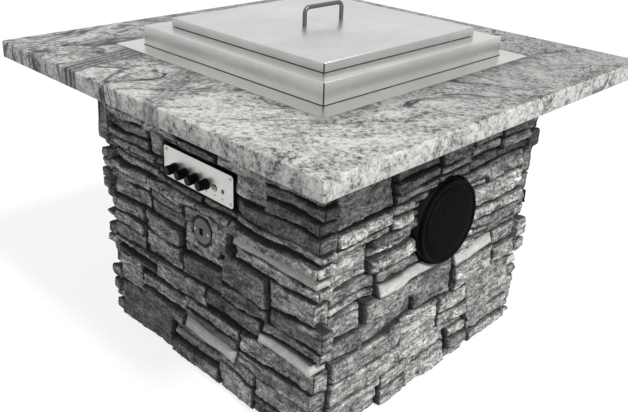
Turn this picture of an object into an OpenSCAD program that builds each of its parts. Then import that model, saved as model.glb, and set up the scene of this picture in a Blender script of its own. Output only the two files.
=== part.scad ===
// Fire pit table: a granite top on a square base clad in stacked stone, with a
// lidded gas burner, a key valve, an audio control plate and a speaker.
// Millimetres. Origin at the middle of the floor under the base, +Z up.
// The control plate faces -Y and the speaker faces +X.

/* [Granite top] */
// Side of the square slab
slab_w = 1060; // [980:1:1200]
// Thickness of the slab
slab_t = 40; // [30:1:60]
// Chamfer along the slab's edges
slab_arris = 2; // [1:0.5:5]
// Height of the slab's top above the floor
table_h = 724; // [690:1:800]

/* [Base frame] */
// Width across the outer faces of the backer boards
base_w = 670; // [650:1:730]
// Thickness of a backer board
board_t = 12; // [9:0.5:15]
// Gap between a backer board and the slab above it
board_top_gap = 2; // [1:0.5:6]
// Height of a backer board's lower edge above the floor
board_lift = 12; // [8:1:30]
// Leg of the steel angle
angle_leg = 40; // [30:1:45]
// Thickness of the steel angle
angle_t = 3; // [2.5:0.5:5]
// Side of a floor glide
glide_w = 46; // [40:1:60]
// Height of a floor glide
glide_h = 10; // [6:1:20]
// Shank diameter of a board screw
board_screw_d = 4.5; // [3.5:0.1:6]
// Head diameter of a board screw
board_screw_head_d = 9; // [7:0.5:12]
// Head height of a board screw
board_screw_head_h = 3; // [2:0.5:5]
// Depth of a board screw in its board
board_screw_bite = 8; // [5:0.5:8.5]
// Number of screws up each edge of a board
board_screw_rows = 4; // [2:1:6]

/* [Stone cladding] */
// Least depth of a stone in front of its board, halfway up the wall
stone_depth = 29; // [26:1:40]
// Further depth that the deepest stone has
stone_spread = 21; // [8:1:24]
// How much further the highest stones stand out than the lowest
stone_overhang = 14; // [0:1:16]
// How far a stone's face can lean from one end to the other
stone_lean = 6; // [0:1:10]
// Joint between two stones
stone_joint = 3; // [2:0.5:5]
// Gap between the lowest stones and the floor
stone_floor_gap = 5; // [3:1:20]
// Gap between the highest stones and the slab
stone_top_gap = 2; // [1:0.5:6]
// Height that one band of stones aims at
band_h = 85; // [76:1:130]
// Length that one block of stones aims at
block_l = 150; // [110:1:220]
// Most stones stacked in one block
block_courses = 3; // [2:1:5]
// How even the shares are, from 0 (wild) to 1 (all alike)
stone_evenness = 0.42; // [0.3:0.01:1]
// Starting number of the stones' random sizes
stone_seed = 21; // [1:1:99]

/* [Burner and curb] */
// Thickness of the stainless sheet
sheet_t = 1.5; // [1:0.25:3]
// Side of the flange that lies on the slab
flange_w = 682; // [640:1:720]
// Side of the burner pan
pan_w = 524; // [500:1:530]
// Depth of the burner pan below the slab's top
pan_depth = 112; // [90:1:140]
// Clearance around the pan in the slab
pan_clear = 5; // [3:0.5:6]
// Side of the raised curb
curb_w = 588; // [570:1:620]
// Height of the curb above the flange
curb_h = 44.5; // [30:0.5:60]
// Depth of the lava rock in the pan
rock_depth = 62; // [40:1:70]
// Gap between the lava rock and the pan's walls
rock_gap = 0.5; // [0.5:0.5:5]
// Radius of the outer burner ring
burner_r = 165; // [120:1:190]
// Radius of the inner burner ring
burner_inner_r = 85; // [60:1:100]
// Diameter of the burner's tube
burner_tube_d = 19; // [15:0.5:22]
// Gap between the lava rock and the burner's tube
burner_lift = 1; // [0.5:0.5:5]
// Thickness of the locknut under the pan
locknut_t = 8; // [6:0.5:12]
// Width across the flats of the locknut under the pan
locknut_af = 36; // [30:1:50]
// Diameter of the burner's cross tubes
cross_tube_d = 16; // [12:0.5:18]
// How far the burner's hub stands above its tubes
hub_rise = 3; // [1:0.5:6]
// Clearance around the riser in the pan and the rock, on the diameter
riser_clear = 1.5; // [1:0.25:4]
// Length of the riser below its locknut
riser_tail = 22; // [15:1:40]

/* [Lid] */
// Side of the lid
lid_w = 496; // [470:1:510]
// Height of the lid's turned-down edge
lid_h = 19; // [14:0.5:30]
// Gap between the lid's edge and the curb
lid_gap = 1.5; // [1:0.5:6]
// Clearance between the lid's edge and the lip that locates it
lip_clear = 4; // [2:0.5:8]
// Distance between the handle's posts
handle_pitch = 120; // [80:1:140]
// Height of the handle above the lid
handle_h = 46; // [36:1:60]
// Diameter of the handle's rod
handle_d = 10; // [8:0.5:13]
// Bend radius of the handle's corners, at the middle of the rod
handle_bend = 13; // [11:0.5:18]
// Diameter of a handle screw
handle_screw_d = 5; // [4:0.5:6]
// Length of a handle screw in its post
handle_screw_bite = 14; // [8:1:18]
// Head diameter of a handle screw
handle_screw_head_d = 9; // [8:0.5:12]
// Head height of a handle screw
handle_screw_head_h = 3; // [2:0.5:5]

/* [Gas line] */
// Place of the key valve along the front face
valve_x = 11; // [0:1:50]
// Height of the key valve
valve_z = 379; // [343:1:403]
// Distance of the valve's axis behind the front board's outer face
valve_back = 68; // [62:1:80]
// Outer diameter of the gas pipe
pipe_d = 21.3; // [17:0.1:22]
// Bore of the gas pipe
pipe_bore = 15.8; // [12:0.1:16]
// Diameter of a pipe elbow
elbow_d = 31; // [28:0.5:36]
// Diameter of the valve's body
valve_d = 36; // [34:0.5:42]
// Half the height of the valve's body
valve_half_h = 30; // [26:1:40]
// Diameter of the valve's turning plug
plug_d = 18; // [17.5:0.5:20]
// Running clearance around the plug, on the radius
plug_clear = 0.05; // [0.02:0.01:0.1]
// Length of the plug behind the valve's axis
plug_back = 12; // [10:0.5:14]
// Wall behind the plug
plug_cap = 6; // [4:0.5:8]
// Diameter of the plug's cross hole
plug_port_d = 12.6; // [10:0.1:14]
// Length of the valve's bonnet in front of its axis
bonnet_l = 24; // [20:1:30]
// How far the plug stands in front of the bonnet
plug_nose = 6; // [4:0.5:10]
// Side of the square drive that the key turns
drive_w = 8; // [6:0.5:10]
// Length of the square drive
drive_l = 34; // [20:1:40]
// Length of the nut on the sleeve, behind the board
sleeve_nut_l = 8; // [6:0.5:12]
// Corner of that nut beyond the sleeve
sleeve_nut_wall = 9; // [6:0.5:14]
// Outer diameter of the sleeve through the stone
sleeve_d = 30; // [29:0.5:34]
// Bore of the sleeve
sleeve_bore = 24; // [22:0.5:25]
// Bore of the level pipe run
run_bore = 15; // [12:0.1:15.5]
// Length of the union under the riser
union_l = 24; // [18:1:26]
// Height of the pipe run from the valve to the burner
run_z = 464; // [449:1:474]
// Height of the gas inlet's mouth above the floor
inlet_z = 40; // [20:1:100]
// Outer diameter of the inlet coupling
coupling_d = 29; // [27:0.5:34]
// Length of the inlet coupling
coupling_l = 42; // [38:1:60]
// Bore of the inlet coupling's thread
inlet_bore = 18.3; // [17.5:0.1:19]
// Depth of the inlet coupling's thread
inlet_depth = 18; // [12:1:20]
// Depth of the pipe in the inlet coupling
coupling_socket = 16; // [12:1:18]
// Diameter of the escutcheon
escutcheon_d = 61; // [56:1:66]
// Thickness of the escutcheon
escutcheon_t = 6; // [4:0.5:8]
// Diameter of the escutcheon's raised middle
boss_d = 32; // [28:0.5:34]
// Width of the slope around the raised middle
boss_slope = 2.5; // [1:0.5:2.5]
// Distance of an escutcheon screw from the edge
escutcheon_screw_inset = 7.5; // [6:0.5:7.5]
// Diameter of an escutcheon screw
escutcheon_screw_d = 4; // [3:0.5:4]
// Head diameter of an escutcheon screw
escutcheon_screw_head_d = 6.4; // [5:0.2:7]
// Head height of an escutcheon screw
escutcheon_screw_head_h = 1.8; // [1:0.2:3]
// Depth of an escutcheon screw in the stone
escutcheon_screw_bite = 16; // [10:1:24]
// Width of the key hole
key_hole_w = 14; // [12:0.5:18]
// Height of the key hole
key_hole_h = 18; // [14:0.5:22]
// Width of the stone around the valve
valve_stone_w = 128; // [110:1:160]
// Height of the stone around the valve
valve_stone_h = 92; // [84:1:120]
// How far the middle of that stone lies to the right of the valve
valve_stone_off = 4; // [0:1:10]
// Depth of the stone around the valve
valve_stone_depth = 39; // [34:1:46]
// Depth of the round pocket in that stone
pocket_depth = 9; // [6:0.5:12]
// Clearance around the escutcheon in the pocket
pocket_clear = 5; // [3:0.5:8]

/* [Control plate] */
// Width of the control plate
plate_w = 242; // [226:1:260]
// Height of the control plate
plate_h = 74; // [66:1:80]
// Thickness of the control plate
plate_t = 2; // [1.5:0.5:4]
// Corner radius of the control plate
plate_r = 8; // [4:0.5:10]
// Place of the plate's middle along the front face
plate_x = 1; // [-20:1:20]
// Height of the plate's middle
plate_z = 509.5; // [495:0.5:533]
// Distance of the plate's face in front of the board
plate_reach = 35; // [30:1:44]
// Clearance around the plate in the stones
plate_clear = 7; // [4:0.5:12]
// Distance of a plate screw from the plate's edges
screw_inset = 9; // [8:0.5:10]
// Diameter of a plate screw
plate_screw_d = 4; // [3:0.5:5]
// Head diameter of a plate screw
plate_screw_head_d = 7.6; // [6:0.2:9]
// Head height of a plate screw
plate_screw_head_h = 2; // [1.5:0.25:3]
// Depth of a plate screw behind the plate
plate_screw_bite = 14; // [8:1:24]
// How far the box behind the plate stands back from the plate's edge
box_trim = 2; // [1:0.5:4]
// How far the row of controls lies below the plate's middle
row_drop = 8.5; // [6:0.5:11]
// Distance between two knobs
knob_pitch = 37; // [30:0.5:38]
// Place of the first knob from the plate's middle
first_knob = -80; // [-84:0.5:-72]
// Diameter of a knob
knob_d = 25; // [20:0.5:28]
// Length of a knob
knob_l = 23; // [20:0.5:26]
// Gap between a knob and the plate
knob_gap = 1; // [0.6:0.1:2]
// Length of a knob's skirt
skirt_l = 4; // [2:0.5:6]
// Step between a knob's skirt and its grip
skirt_step = 1.5; // [1:0.25:2.5]
// Chamfer of a knob's nose
nose_l = 2; // [1:0.25:3]
// Clearance around a bushing in a knob's cup
cup_clear = 3.5; // [3:0.25:4]
// Depth of a knob's bore beyond its cup
knob_bore_depth = 12; // [9:0.5:12]
// Diameter of a grip groove
groove_d = 2; // [1:0.25:2.5]
// Length of the grip between a groove's end and the nose
groove_stop = 0.5; // [0.25:0.25:2]
// Number of grip grooves around a knob
knob_grooves = 16; // [8:1:24]
// Diameter of a knob's shaft
shaft_d = 6; // [5:0.25:6.5]
// Length of a shaft behind the plate
shaft_inset = 8; // [6:0.5:8]
// Running clearance around a shaft, on the radius
shaft_clear = 0.03; // [0.02:0.01:0.1]
// Side of a potentiometer's body
pot_w = 17; // [14:0.5:20]
// Depth of a potentiometer's body
pot_depth = 10; // [8:0.5:14]
// How far a potentiometer's bushing stands in front of the plate
bushing_l = 6; // [5:0.5:8]
// Wall of a potentiometer's bushing
bushing_wall = 0.8; // [0.6:0.1:1.2]
// Wall of a potentiometer's nut, at its corners
pot_nut_wall = 2; // [1.5:0.25:3]
// Wall of the large jack's nut
jack_nut_wall = 3; // [1.5:0.25:3.5]
// Wall of the small jack's nut
mini_nut_wall = 1; // [0.8:0.1:2]
// Thickness of a nut on the plate
nut_t = 2; // [1.5:0.25:3]
// Place of the large audio jack from the plate's middle
jack_x = 59; // [57:0.5:64]
// Bore of the large audio jack
jack_bore = 6.5; // [6.4:0.1:7]
// Depth of the large audio jack's bore
jack_depth = 26; // [20:1:32]
// Place of the small jack from the plate's middle
mini_x = 86; // [82:0.5:88]
// Bore of the small jack
mini_bore = 3.6; // [3.5:0.1:4]
// Depth of the small jack's bore
mini_depth = 15; // [12:1:20]
// Wall of a jack's bushing
jack_wall = 2; // [1:0.1:2.2]
// How far the large jack's body reaches beyond its bushing
jack_body_wall = 3; // [2:0.25:4]
// How far the small jack's body reaches beyond its bushing
mini_body_wall = 0.8; // [0.5:0.1:1]
// How far a jack's bushing stands in front of the plate
jack_nose = 3.5; // [2.5:0.5:5]

/* [Amplifier] */
// Width of the amplifier
amp_w = 192; // [188:1:200]
// Height of the amplifier
amp_h = 46; // [44:1:48]
// Depth of the amplifier
amp_depth = 104; // [95:1:120]
// Sheet of the amplifier's tray and cover
amp_sheet = 1.5; // [1:0.25:2]
// Clearance around the amplifier in its opening
amp_clear = 1; // [0.5:0.25:2]
// Thickness of the circuit board
circuit_t = 1.6; // [1:0.2:2.4]
// Height of the posts under the circuit board
post_h = 3; // [2:0.5:4]
// Diameter of a post under the circuit board
post_d = 6; // [4:0.5:8]
// Distance of a post from the amplifier's edges
post_edge = 12; // [10:0.5:16]
// Clearance around the circuit board in the tray
circuit_clear = 3; // [2:0.5:5]
// Clearance between the circuit board and the jacks
circuit_front = 4; // [2:0.5:8]
// Width of a heat sink
sink_w = 34; // [24:1:40]
// Height of a heat sink
sink_h = 20; // [12:1:24]
// Diameter of the power inlet
power_d = 12; // [10:0.5:16]
// Length of the power inlet
power_l = 12; // [10:0.5:18]
// Wall behind the power inlet's bore
power_floor = 2; // [1:0.5:4]
// Bore of the power inlet
power_bore = 5.6; // [5:0.1:6.5]

/* [Speaker] */
// Diameter of the speaker
speaker_d = 196; // [190:1:206]
// Place of the speaker along the right face
speaker_y = 15; // [-20:1:30]
// Height of the speaker's middle
speaker_z = 419; // [404:1:439]
// Depth of the mounting ring
ring_depth = 46; // [40:1:56]
// Inner diameter of the mounting ring
ring_bore = 146; // [142:1:150]
// Clearance around the speaker in the stones
speaker_clear = 4; // [2:0.5:8]
// Height of the grille in front of the ring
grille_h = 18; // [14:0.5:26]
// Height of the grille's rim
rim_h = 11.2; // [8:0.2:13]
// Width of the grille's rim
rim_w = 7; // [5:0.5:9]
// Width of the groove inside the rim
rim_groove_w = 6; // [4:0.5:8]
// Depth of the groove, and chamfer of the rim
rim_chamfer = 2; // [1:0.25:3]
// Drop of the grille's face from its middle to halfway out
face_drop = 2.2; // [1:0.2:3]
// Wall of the grille's rim
grille_wall = 2.5; // [2:0.5:4]
// Thickness of the grille's face
grille_t = 1.6; // [1.2:0.2:3]
// Outer diameter of the basket's flange
basket_d = 174; // [168:1:174]
// Thickness of the basket's sheet
basket_t = 2; // [1.5:0.25:3]
// Depth of the basket behind its flange
basket_depth = 46; // [42:1:52]
// Width of the basket's floor beyond the magnet
basket_rim = 3; // [2:0.5:5]
// Clearance around the voice coil in the basket's floor
basket_hole_clear = 4; // [3:0.5:6]
// Side of the speaker's terminal block
terminal_w = 8; // [6:0.5:10]
// Gap between the magnet and the terminal block
terminal_gap = 1; // [0.5:0.5:2]
// Diameter of the cone
cone_d = 120; // [110:1:122]
// Depth of the cone
cone_depth = 28; // [22:1:30]
// Thickness of the cone's paper
cone_t = 1; // [0.8:0.1:1.5]
// Height of the dust cap in the cone's neck
cap_h = 7; // [5:0.5:9]
// Width of the dust cap's sloping edge
cap_slope = 8; // [6:0.5:9]
// Width of the half-round surround
surround_w = 7.6; // [6:0.2:8]
// Wall of the surround
surround_wall = 1; // [0.6:0.1:1.5]
// How far the surround lies on the basket
surround_seat = 1; // [0.5:0.25:1.5]
// Gap between the cone and the surround
cone_gap = 0.4; // [0.3:0.1:0.8]
// Diameter of the voice coil
coil_d = 26; // [22:0.5:30]
// Wall of the voice coil
coil_t = 0.8; // [0.6:0.1:1]
// Length of the voice coil behind the cone
coil_l = 26; // [22:0.5:26]
// Gap on each side of the voice coil in the magnet
coil_gap = 0.7; // [0.5:0.1:1]
// Travel of the cone each way
cone_travel = 4; // [2:0.5:5]
// Diameter of the magnet
magnet_d = 76; // [60:1:80]
// Thickness of the magnet
magnet_t = 24; // [22:1:30]
// Floor of the magnet behind the coil's slot
magnet_floor = 4; // [2:0.5:5]
// Circle of the speaker's screws
speaker_screw_circle = 158; // [156:1:161]
// Diameter of a speaker screw
speaker_screw_d = 4; // [3:0.5:5]
// Head diameter of a speaker screw
speaker_screw_head_d = 7.2; // [6:0.2:8]
// Head height of a speaker screw
speaker_screw_head_h = 2; // [1.5:0.25:3]
// Depth of a speaker screw in the ring
speaker_screw_bite = 18; // [10:1:26]
// Diameter of the speaker cable
cable_d = 5; // [4:0.5:6]
// Distance of the speaker cable from the right board
cable_off = 20; // [14:1:26]
// Place where the cable leaves the amplifier, from the plate's middle
cable_exit = 50; // [30:1:70]
// Length of the cable straight out of the amplifier
cable_lead = 24; // [16:1:40]
// Swelling of the cable at its turns, on the diameter
cable_turn_swell = 0.75; // [0.5:0.25:1.5]
// Length of a cable clip
clip_l = 9; // [6:0.5:14]
// Wall of a cable clip
clip_wall = 3; // [2:0.5:4]

/* [Hidden] */
$fn = 64;
// Overrun that takes a cut clear of a face
over = 1;
half_base = base_w / 2;
frame_half = half_base - board_t;
slab_z = table_h - slab_t;
board_h = slab_z - board_top_gap - board_lift;
wall_h = slab_z - stone_top_gap - stone_floor_gap;
rail_l = 2 * (frame_half - angle_leg);

// Levels of the burner, the curb and the lid
pan_floor_z = table_h - pan_depth;
rock_top_z = pan_floor_z + sheet_t + rock_depth;
burner_z = rock_top_z + burner_lift + burner_tube_d / 2;
flange_top_z = table_h + sheet_t;
curb_top_z = flange_top_z + curb_h;
lid_edge_z = curb_top_z + lid_gap;
lid_top_z = lid_edge_z + lid_h;
lid_under_z = lid_top_z - sheet_t;
lip_w = lid_w - 2 * sheet_t - 2 * lip_clear;
pan_inner_w = pan_w - 2 * sheet_t;
riser_hole_d = pipe_d + riser_clear;
riser_end_z = pan_floor_z - locknut_t - riser_tail;

// Places of the gas valve's parts
valve_y = -half_base + valve_back;
bonnet_y = valve_y - bonnet_l;
drive_from_y = bonnet_y - plug_nose;
valve_stone_x = valve_x + valve_stone_off;
pocket_y = -half_base - valve_stone_depth + pocket_depth;
escutcheon_screw_r = escutcheon_d / 2 - escutcheon_screw_inset;
coupling_top_z = inlet_z + coupling_l;

// Places of the control plate's parts
plate_face_y = -half_base - plate_reach;
plate_back_y = plate_face_y + plate_t;
row_z = plate_z - row_drop;
amp_back_y = plate_back_y + amp_depth;
opening_w = amp_w + 2 * amp_clear;
opening_h = amp_h + 2 * amp_clear;
bushing_d = shaft_d + 2 * shaft_clear + 2 * bushing_wall;
knob_cup = bushing_l + knob_gap;
jack_nose_d = jack_bore + 2 * jack_wall;
mini_nose_d = mini_bore + 2 * jack_wall;
fit_gap = 0.1;
circuit_z = plate_z - amp_h / 2 + amp_sheet + post_h;

// Heights along the speaker's axis, from the board's outer face
flange_h = ring_depth + basket_t;
cone_base_h = flange_h - cone_depth;
basket_floor_h = flange_h - basket_depth;
surround_inner_d = cone_d + 2 * cone_gap;
surround_mid_r = surround_inner_d / 4 + (surround_inner_d + 2 * surround_w) / 4;
terminal_z = speaker_z + magnet_d / 2 + terminal_gap + terminal_w / 2;
cable_x = frame_half - cable_off;
cable_turn_y = amp_back_y + cable_lead;
cable_exit_x = plate_x + cable_exit;

// Sum of a list
function total(v, i = 0) = i < len(v) ? v[i] + total(v, i + 1) : 0;
// Running places of a list of lengths, starting at a given place
function places(v, from) = [for (i = 0, a = from; i <= len(v); a = a + (i < len(v) ? v[i] : 0), i = i + 1) a];
// A length split into random shares that add up to it
function shares(whole, n, seed) =
    let (w = rands(stone_evenness, 1, n, seed))
    w * (whole / total(w));
// The stones of one block: each is [left, right, bottom, top, depth share, lean share]
function block_stones(u0, u1, z0, z1, seed) =
    let (
        n = floor(rands(1.6, block_courses + 0.99, 1, seed)[0]),
        zs = places(shares(z1 - z0, n, seed + 1), z0),
        r = rands(0, 1, 2 * n, seed + 2)
    )
    [for (i = [0 : n - 1]) [u0, u1, zs[i], zs[i + 1], r[2 * i], r[2 * i + 1]]];
// The stones of one band across a wall
function band_stones(u0, u1, z0, z1, seed) =
    let (
        n = max(2, round((u1 - u0) / block_l + rands(-0.5, 0.5, 1, seed)[0])),
        us = places(shares(u1 - u0, n, seed + 1), u0)
    )
    [for (i = [0 : n - 1]) for (s = block_stones(us[i], us[i + 1], z0, z1, seed * 17 + i * 7)) s];
// The stones of a whole wall
function wall_stones(u0, u1, seed) =
    let (
        n = round(wall_h / band_h),
        zs = places(shares(wall_h, n, seed), stone_floor_gap)
    )
    [for (b = [0 : n - 1]) for (s = band_stones(u0, u1, zs[b], zs[b + 1], seed + 11 * b + 3)) s];
function knob_x(k) = plate_x + first_knob + knob_pitch * k;

// Turns a front piece onto face 0 front, 1 right, 2 rear or 3 left
module on_face(k) {
    rotate([0, 0, 90 * k]) children();
}

// A square ring of sheet or plate, from z = 0 up
module square_ring(outer, inner, h) {
    difference() {
        translate([-outer / 2, -outer / 2, 0]) cube([outer, outer, h]);
        translate([-inner / 2, -inner / 2, -over]) cube([inner, inner, h + 2 * over]);
    }
}

// A round rod from one point to another
module rod(p, q, r) {
    d = q - p;
    translate(p)
        rotate([0, acos(d[2] / norm(d)), atan2(d[1], d[0])])
            cylinder(r = r, h = norm(d));
}

// A cylinder whose axis runs along -Y from a given y
module out_cylinder(x, y, z, d, l) {
    translate([x, y, z]) rotate([90, 0, 0]) cylinder(d = d, h = l);
}

// A plate with round corners, in X and Z, its back at y = 0, thick towards -Y
module round_plate(w, h, r, t) {
    rotate([90, 0, 0])
        linear_extrude(t)
            union() {
                square([w - 2 * r, h], center = true);
                square([w, h - 2 * r], center = true);
                for (x = [-1, 1])
                    for (z = [-1, 1])
                        translate([x * (w / 2 - r), z * (h / 2 - r)]) circle(r = r);
            }
}

// Puts a piece on the speaker's axis, with z out of the right face
module on_speaker() {
    translate([half_base, speaker_y, speaker_z]) rotate([0, 90, 0]) children();
}

// Floor and frame

module floor_glides() {
    color("#303030")
        for (k = [0 : 3])
            on_face(k)
                translate([-frame_half, -frame_half, 0])
                    cube([glide_w, glide_w, glide_h]);
}

module frame_posts() {
    color("#4a4d50")
        for (k = [0 : 3])
            on_face(k)
                translate([-frame_half, -frame_half, glide_h])
                    linear_extrude(slab_z - glide_h)
                        difference() {
                            square(angle_leg);
                            translate([angle_t, angle_t]) square(angle_leg);
                        }
}

// One rail of angle under or over the boards: flat is the z of its level leg
module rail(upright_z, flat_z) {
    translate([-rail_l / 2, -frame_half, upright_z]) cube([rail_l, angle_t, angle_leg]);
    translate([-rail_l / 2, -frame_half, flat_z]) cube([rail_l, angle_leg, angle_t]);
}

module bottom_rails() {
    color("#4a4d50")
        for (k = [0 : 3])
            on_face(k) rail(glide_h, glide_h);
}

module top_rails() {
    color("#4a4d50")
        for (k = [0 : 3])
            on_face(k) rail(slab_z - angle_leg, slab_z - angle_t);
}

// A plain backer board of a given length on the front
module board(l) {
    translate([-l / 2, -half_base, board_lift]) cube([l, board_t, board_h]);
}

module front_backer_board() {
    color("#8d8d88")
        difference() {
            board(base_w);
            translate([plate_x - opening_w / 2, -half_base - over, plate_z - opening_h / 2])
                cube([opening_w, board_t + 2 * over, opening_h]);
            out_cylinder(valve_x, -frame_half + over, valve_z, sleeve_d + fit_gap, board_t + 2 * over);
        }
}

module right_backer_board() {
    color("#8d8d88")
        difference() {
            on_face(1) board(2 * frame_half);
            on_speaker() translate([0, 0, -board_t - over]) cylinder(d = ring_bore, h = board_t + 2 * over);
        }
}

module rear_backer_board() {
    color("#8d8d88") on_face(2) board(base_w);
}

module left_backer_board() {
    color("#8d8d88") on_face(3) board(2 * frame_half);
}

module board_screws() {
    pitch = (board_h - 4 * angle_leg) / (board_screw_rows - 1);
    from_y = -frame_half + angle_t + board_screw_head_h;
    shank = board_screw_head_h + angle_t + board_screw_bite;
    color("#b0b0a8")
        for (k = [0 : 3])
            on_face(k)
                for (x = [-1, 1])
                    for (i = [0 : board_screw_rows - 1]) {
                        place_x = x * (frame_half - angle_leg / 2);
                        place_z = board_lift + 2 * angle_leg + i * pitch;
                        out_cylinder(place_x, from_y, place_z, board_screw_head_d, board_screw_head_h);
                        out_cylinder(place_x, from_y, place_z, board_screw_d, shank);
                    }
}

// Stone cladding

// One stone: its ends run past the wall's corner where that end is open
module stone(s, u0, u1, open_left, open_right) {
    least = stone_depth + stone_overhang * ((s[2] + s[3]) / 2 / slab_z - 0.5);
    d = least + stone_spread * s[4];
    tip = stone_lean * (s[5] - 0.5);
    end_reach = least + stone_spread * s[5];
    a = open_left && s[0] == u0 ? u0 - end_reach : s[0] + stone_joint / 2;
    b = open_right && s[1] >= u1 - stone_joint ? u1 + end_reach : s[1] - stone_joint / 2;
    translate([0, 0, s[2] + stone_joint / 2])
        linear_extrude(s[3] - s[2] - stone_joint)
            polygon([
                [a, -half_base],
                [a, -half_base - d - tip],
                [b, -half_base - d + tip],
                [b, -half_base]
            ]);
}

// A wall of stones on the front, its ends open at a corner or closed by the next wall
module stone_wall(seed, open_left, open_right) {
    for (s = wall_stones(-half_base, half_base, seed))
        stone(s, -half_base, half_base, open_left, open_right);
}

// A block in front of the front board, in X and Z about a middle
module front_block(x, z, w, h, depth) {
    translate([x - w / 2, -half_base - depth, z - h / 2]) cube([w, depth, h]);
}

module front_stone_cladding() {
    reach = stone_depth + stone_spread + stone_overhang + stone_lean + over;
    color("#77777a")
        difference() {
            stone_wall(stone_seed, false, true);
            translate([0, over, 0]) {
                front_block(plate_x, plate_z, plate_w + 2 * plate_clear, plate_h + 2 * plate_clear, reach);
                front_block(valve_stone_x, valve_z,
                    valve_stone_w + 2 * stone_joint, valve_stone_h + 2 * stone_joint, reach);
            }
        }
}

// The stone that the key valve's sleeve and escutcheon are let into
module valve_surround_stone() {
    color("#77777a")
        difference() {
            front_block(valve_stone_x, valve_z, valve_stone_w, valve_stone_h, valve_stone_depth);
            out_cylinder(valve_x, -half_base + over, valve_z,
                sleeve_d + fit_gap, valve_stone_depth + 2 * over);
            out_cylinder(valve_x, pocket_y, valve_z, escutcheon_d + 2 * pocket_clear, pocket_depth + over);
        }
}

module right_stone_cladding() {
    color("#8f8f90")
        difference() {
            on_face(1) stone_wall(stone_seed + 100, false, false);
            on_speaker()
                translate([0, 0, -over])
                    cylinder(d = speaker_d + 2 * speaker_clear, h = 2 * (stone_depth + stone_spread));
        }
}

module rear_stone_cladding() {
    color("#808082") on_face(2) stone_wall(stone_seed + 200, true, true);
}

module left_stone_cladding() {
    color("#808082") on_face(3) stone_wall(stone_seed + 300, false, true);
}

// Top, burner and curb

module granite_top() {
    cut = pan_w + 2 * pan_clear;
    inner = slab_w - 2 * slab_arris;
    color("#c9c9c6")
        difference() {
            translate([0, 0, slab_z])
                hull() {
                    translate([-inner / 2, -inner / 2, 0]) cube([inner, inner, slab_t]);
                    translate([-slab_w / 2, -slab_w / 2, slab_arris])
                        cube([slab_w, slab_w, slab_t - 2 * slab_arris]);
                }
            translate([-cut / 2, -cut / 2, slab_z - over]) cube([cut, cut, slab_t + 2 * over]);
        }
}

module burner_pan() {
    color("#cfd2d2")
        difference() {
            union() {
                translate([0, 0, table_h]) square_ring(flange_w, pan_inner_w, sheet_t);
                translate([0, 0, pan_floor_z]) square_ring(pan_w, pan_inner_w, pan_depth + sheet_t);
                translate([-pan_w / 2, -pan_w / 2, pan_floor_z]) cube([pan_w, pan_w, sheet_t]);
            }
            translate([0, 0, pan_floor_z - over]) cylinder(d = riser_hole_d, h = sheet_t + 2 * over);
        }
}

module raised_curb() {
    color("#d4d7d7") {
        translate([0, 0, flange_top_z]) square_ring(curb_w, curb_w - 2 * sheet_t, curb_h);
        translate([0, 0, curb_top_z - sheet_t]) square_ring(curb_w, lip_w - 2 * sheet_t, sheet_t);
        translate([0, 0, curb_top_z - sheet_t])
            square_ring(lip_w, lip_w - 2 * sheet_t, lid_under_z - curb_top_z + sheet_t);
    }
}

module lava_rock_bed() {
    w = pan_inner_w - 2 * rock_gap;
    color("#3a3532")
        difference() {
            translate([-w / 2, -w / 2, pan_floor_z + sheet_t]) cube([w, w, rock_depth]);
            translate([0, 0, pan_floor_z]) cylinder(d = riser_hole_d, h = pan_depth);
        }
}

module burner_ring() {
    color("#b9bcbc") {
        for (r = [burner_inner_r, burner_r])
            translate([0, 0, burner_z])
                rotate_extrude()
                    translate([r, 0]) circle(d = burner_tube_d);
        for (a = [0, 90])
            rotate([0, 0, a])
                translate([-burner_r, 0, burner_z])
                    rotate([0, 90, 0]) cylinder(d = cross_tube_d, h = 2 * burner_r);
        translate([0, 0, burner_z - burner_tube_d / 2]) cylinder(d = elbow_d, h = burner_tube_d + hub_rise);
        translate([0, 0, riser_end_z]) cylinder(d = pipe_d, h = burner_z - riser_end_z);
    }
}

module burner_locknut() {
    color("#c8a24a")
        translate([0, 0, pan_floor_z - locknut_t])
            difference() {
                cylinder(d = locknut_af / cos(30), h = locknut_t, $fn = 6);
                translate([0, 0, -over]) cylinder(d = pipe_d + fit_gap, h = locknut_t + 2 * over);
            }
}

// Gas line

module gas_pipe_run() {
    valve_top = [valve_x, valve_y, valve_z + valve_half_h];
    corner_a = [valve_x, valve_y, run_z];
    corner_b = [0, 0, run_z];
    riser_end = [0, 0, riser_end_z];
    color("#5a5d60")
        difference() {
            union() {
                rod(valve_top, corner_a, pipe_d / 2);
                rod(corner_a, corner_b, pipe_d / 2);
                rod(corner_b, riser_end, pipe_d / 2);
                for (p = [corner_a, corner_b])
                    translate(p) sphere(d = elbow_d);
                translate(riser_end - [0, 0, union_l]) cylinder(d = elbow_d, h = union_l, $fn = 8);
            }
            translate(valve_top - [0, 0, over]) cylinder(d = pipe_bore, h = run_z - valve_top[2] + over);
            rod(corner_a, corner_b, run_bore / 2);
            translate(corner_b) cylinder(d = pipe_bore, h = riser_end_z - run_z + over);
        }
}

module gas_inlet_pipe() {
    from_z = coupling_top_z - coupling_socket;
    color("#5a5d60")
        translate([valve_x, valve_y, from_z])
            difference() {
                cylinder(d = pipe_d, h = valve_z - valve_half_h - from_z);
                translate([0, 0, -over])
                    cylinder(d = pipe_bore, h = valve_z - valve_half_h - from_z + 2 * over);
            }
}

module gas_inlet_coupling() {
    color("#c8a24a")
        translate([valve_x, valve_y, inlet_z])
            difference() {
                cylinder(d = coupling_d, h = coupling_l);
                translate([0, 0, -over]) cylinder(d = inlet_bore, h = inlet_depth + over);
                translate([0, 0, over]) cylinder(d = pipe_bore, h = coupling_l);
                translate([0, 0, coupling_l - coupling_socket])
                    cylinder(d = pipe_d + fit_gap, h = coupling_socket + over);
            }
}

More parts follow.
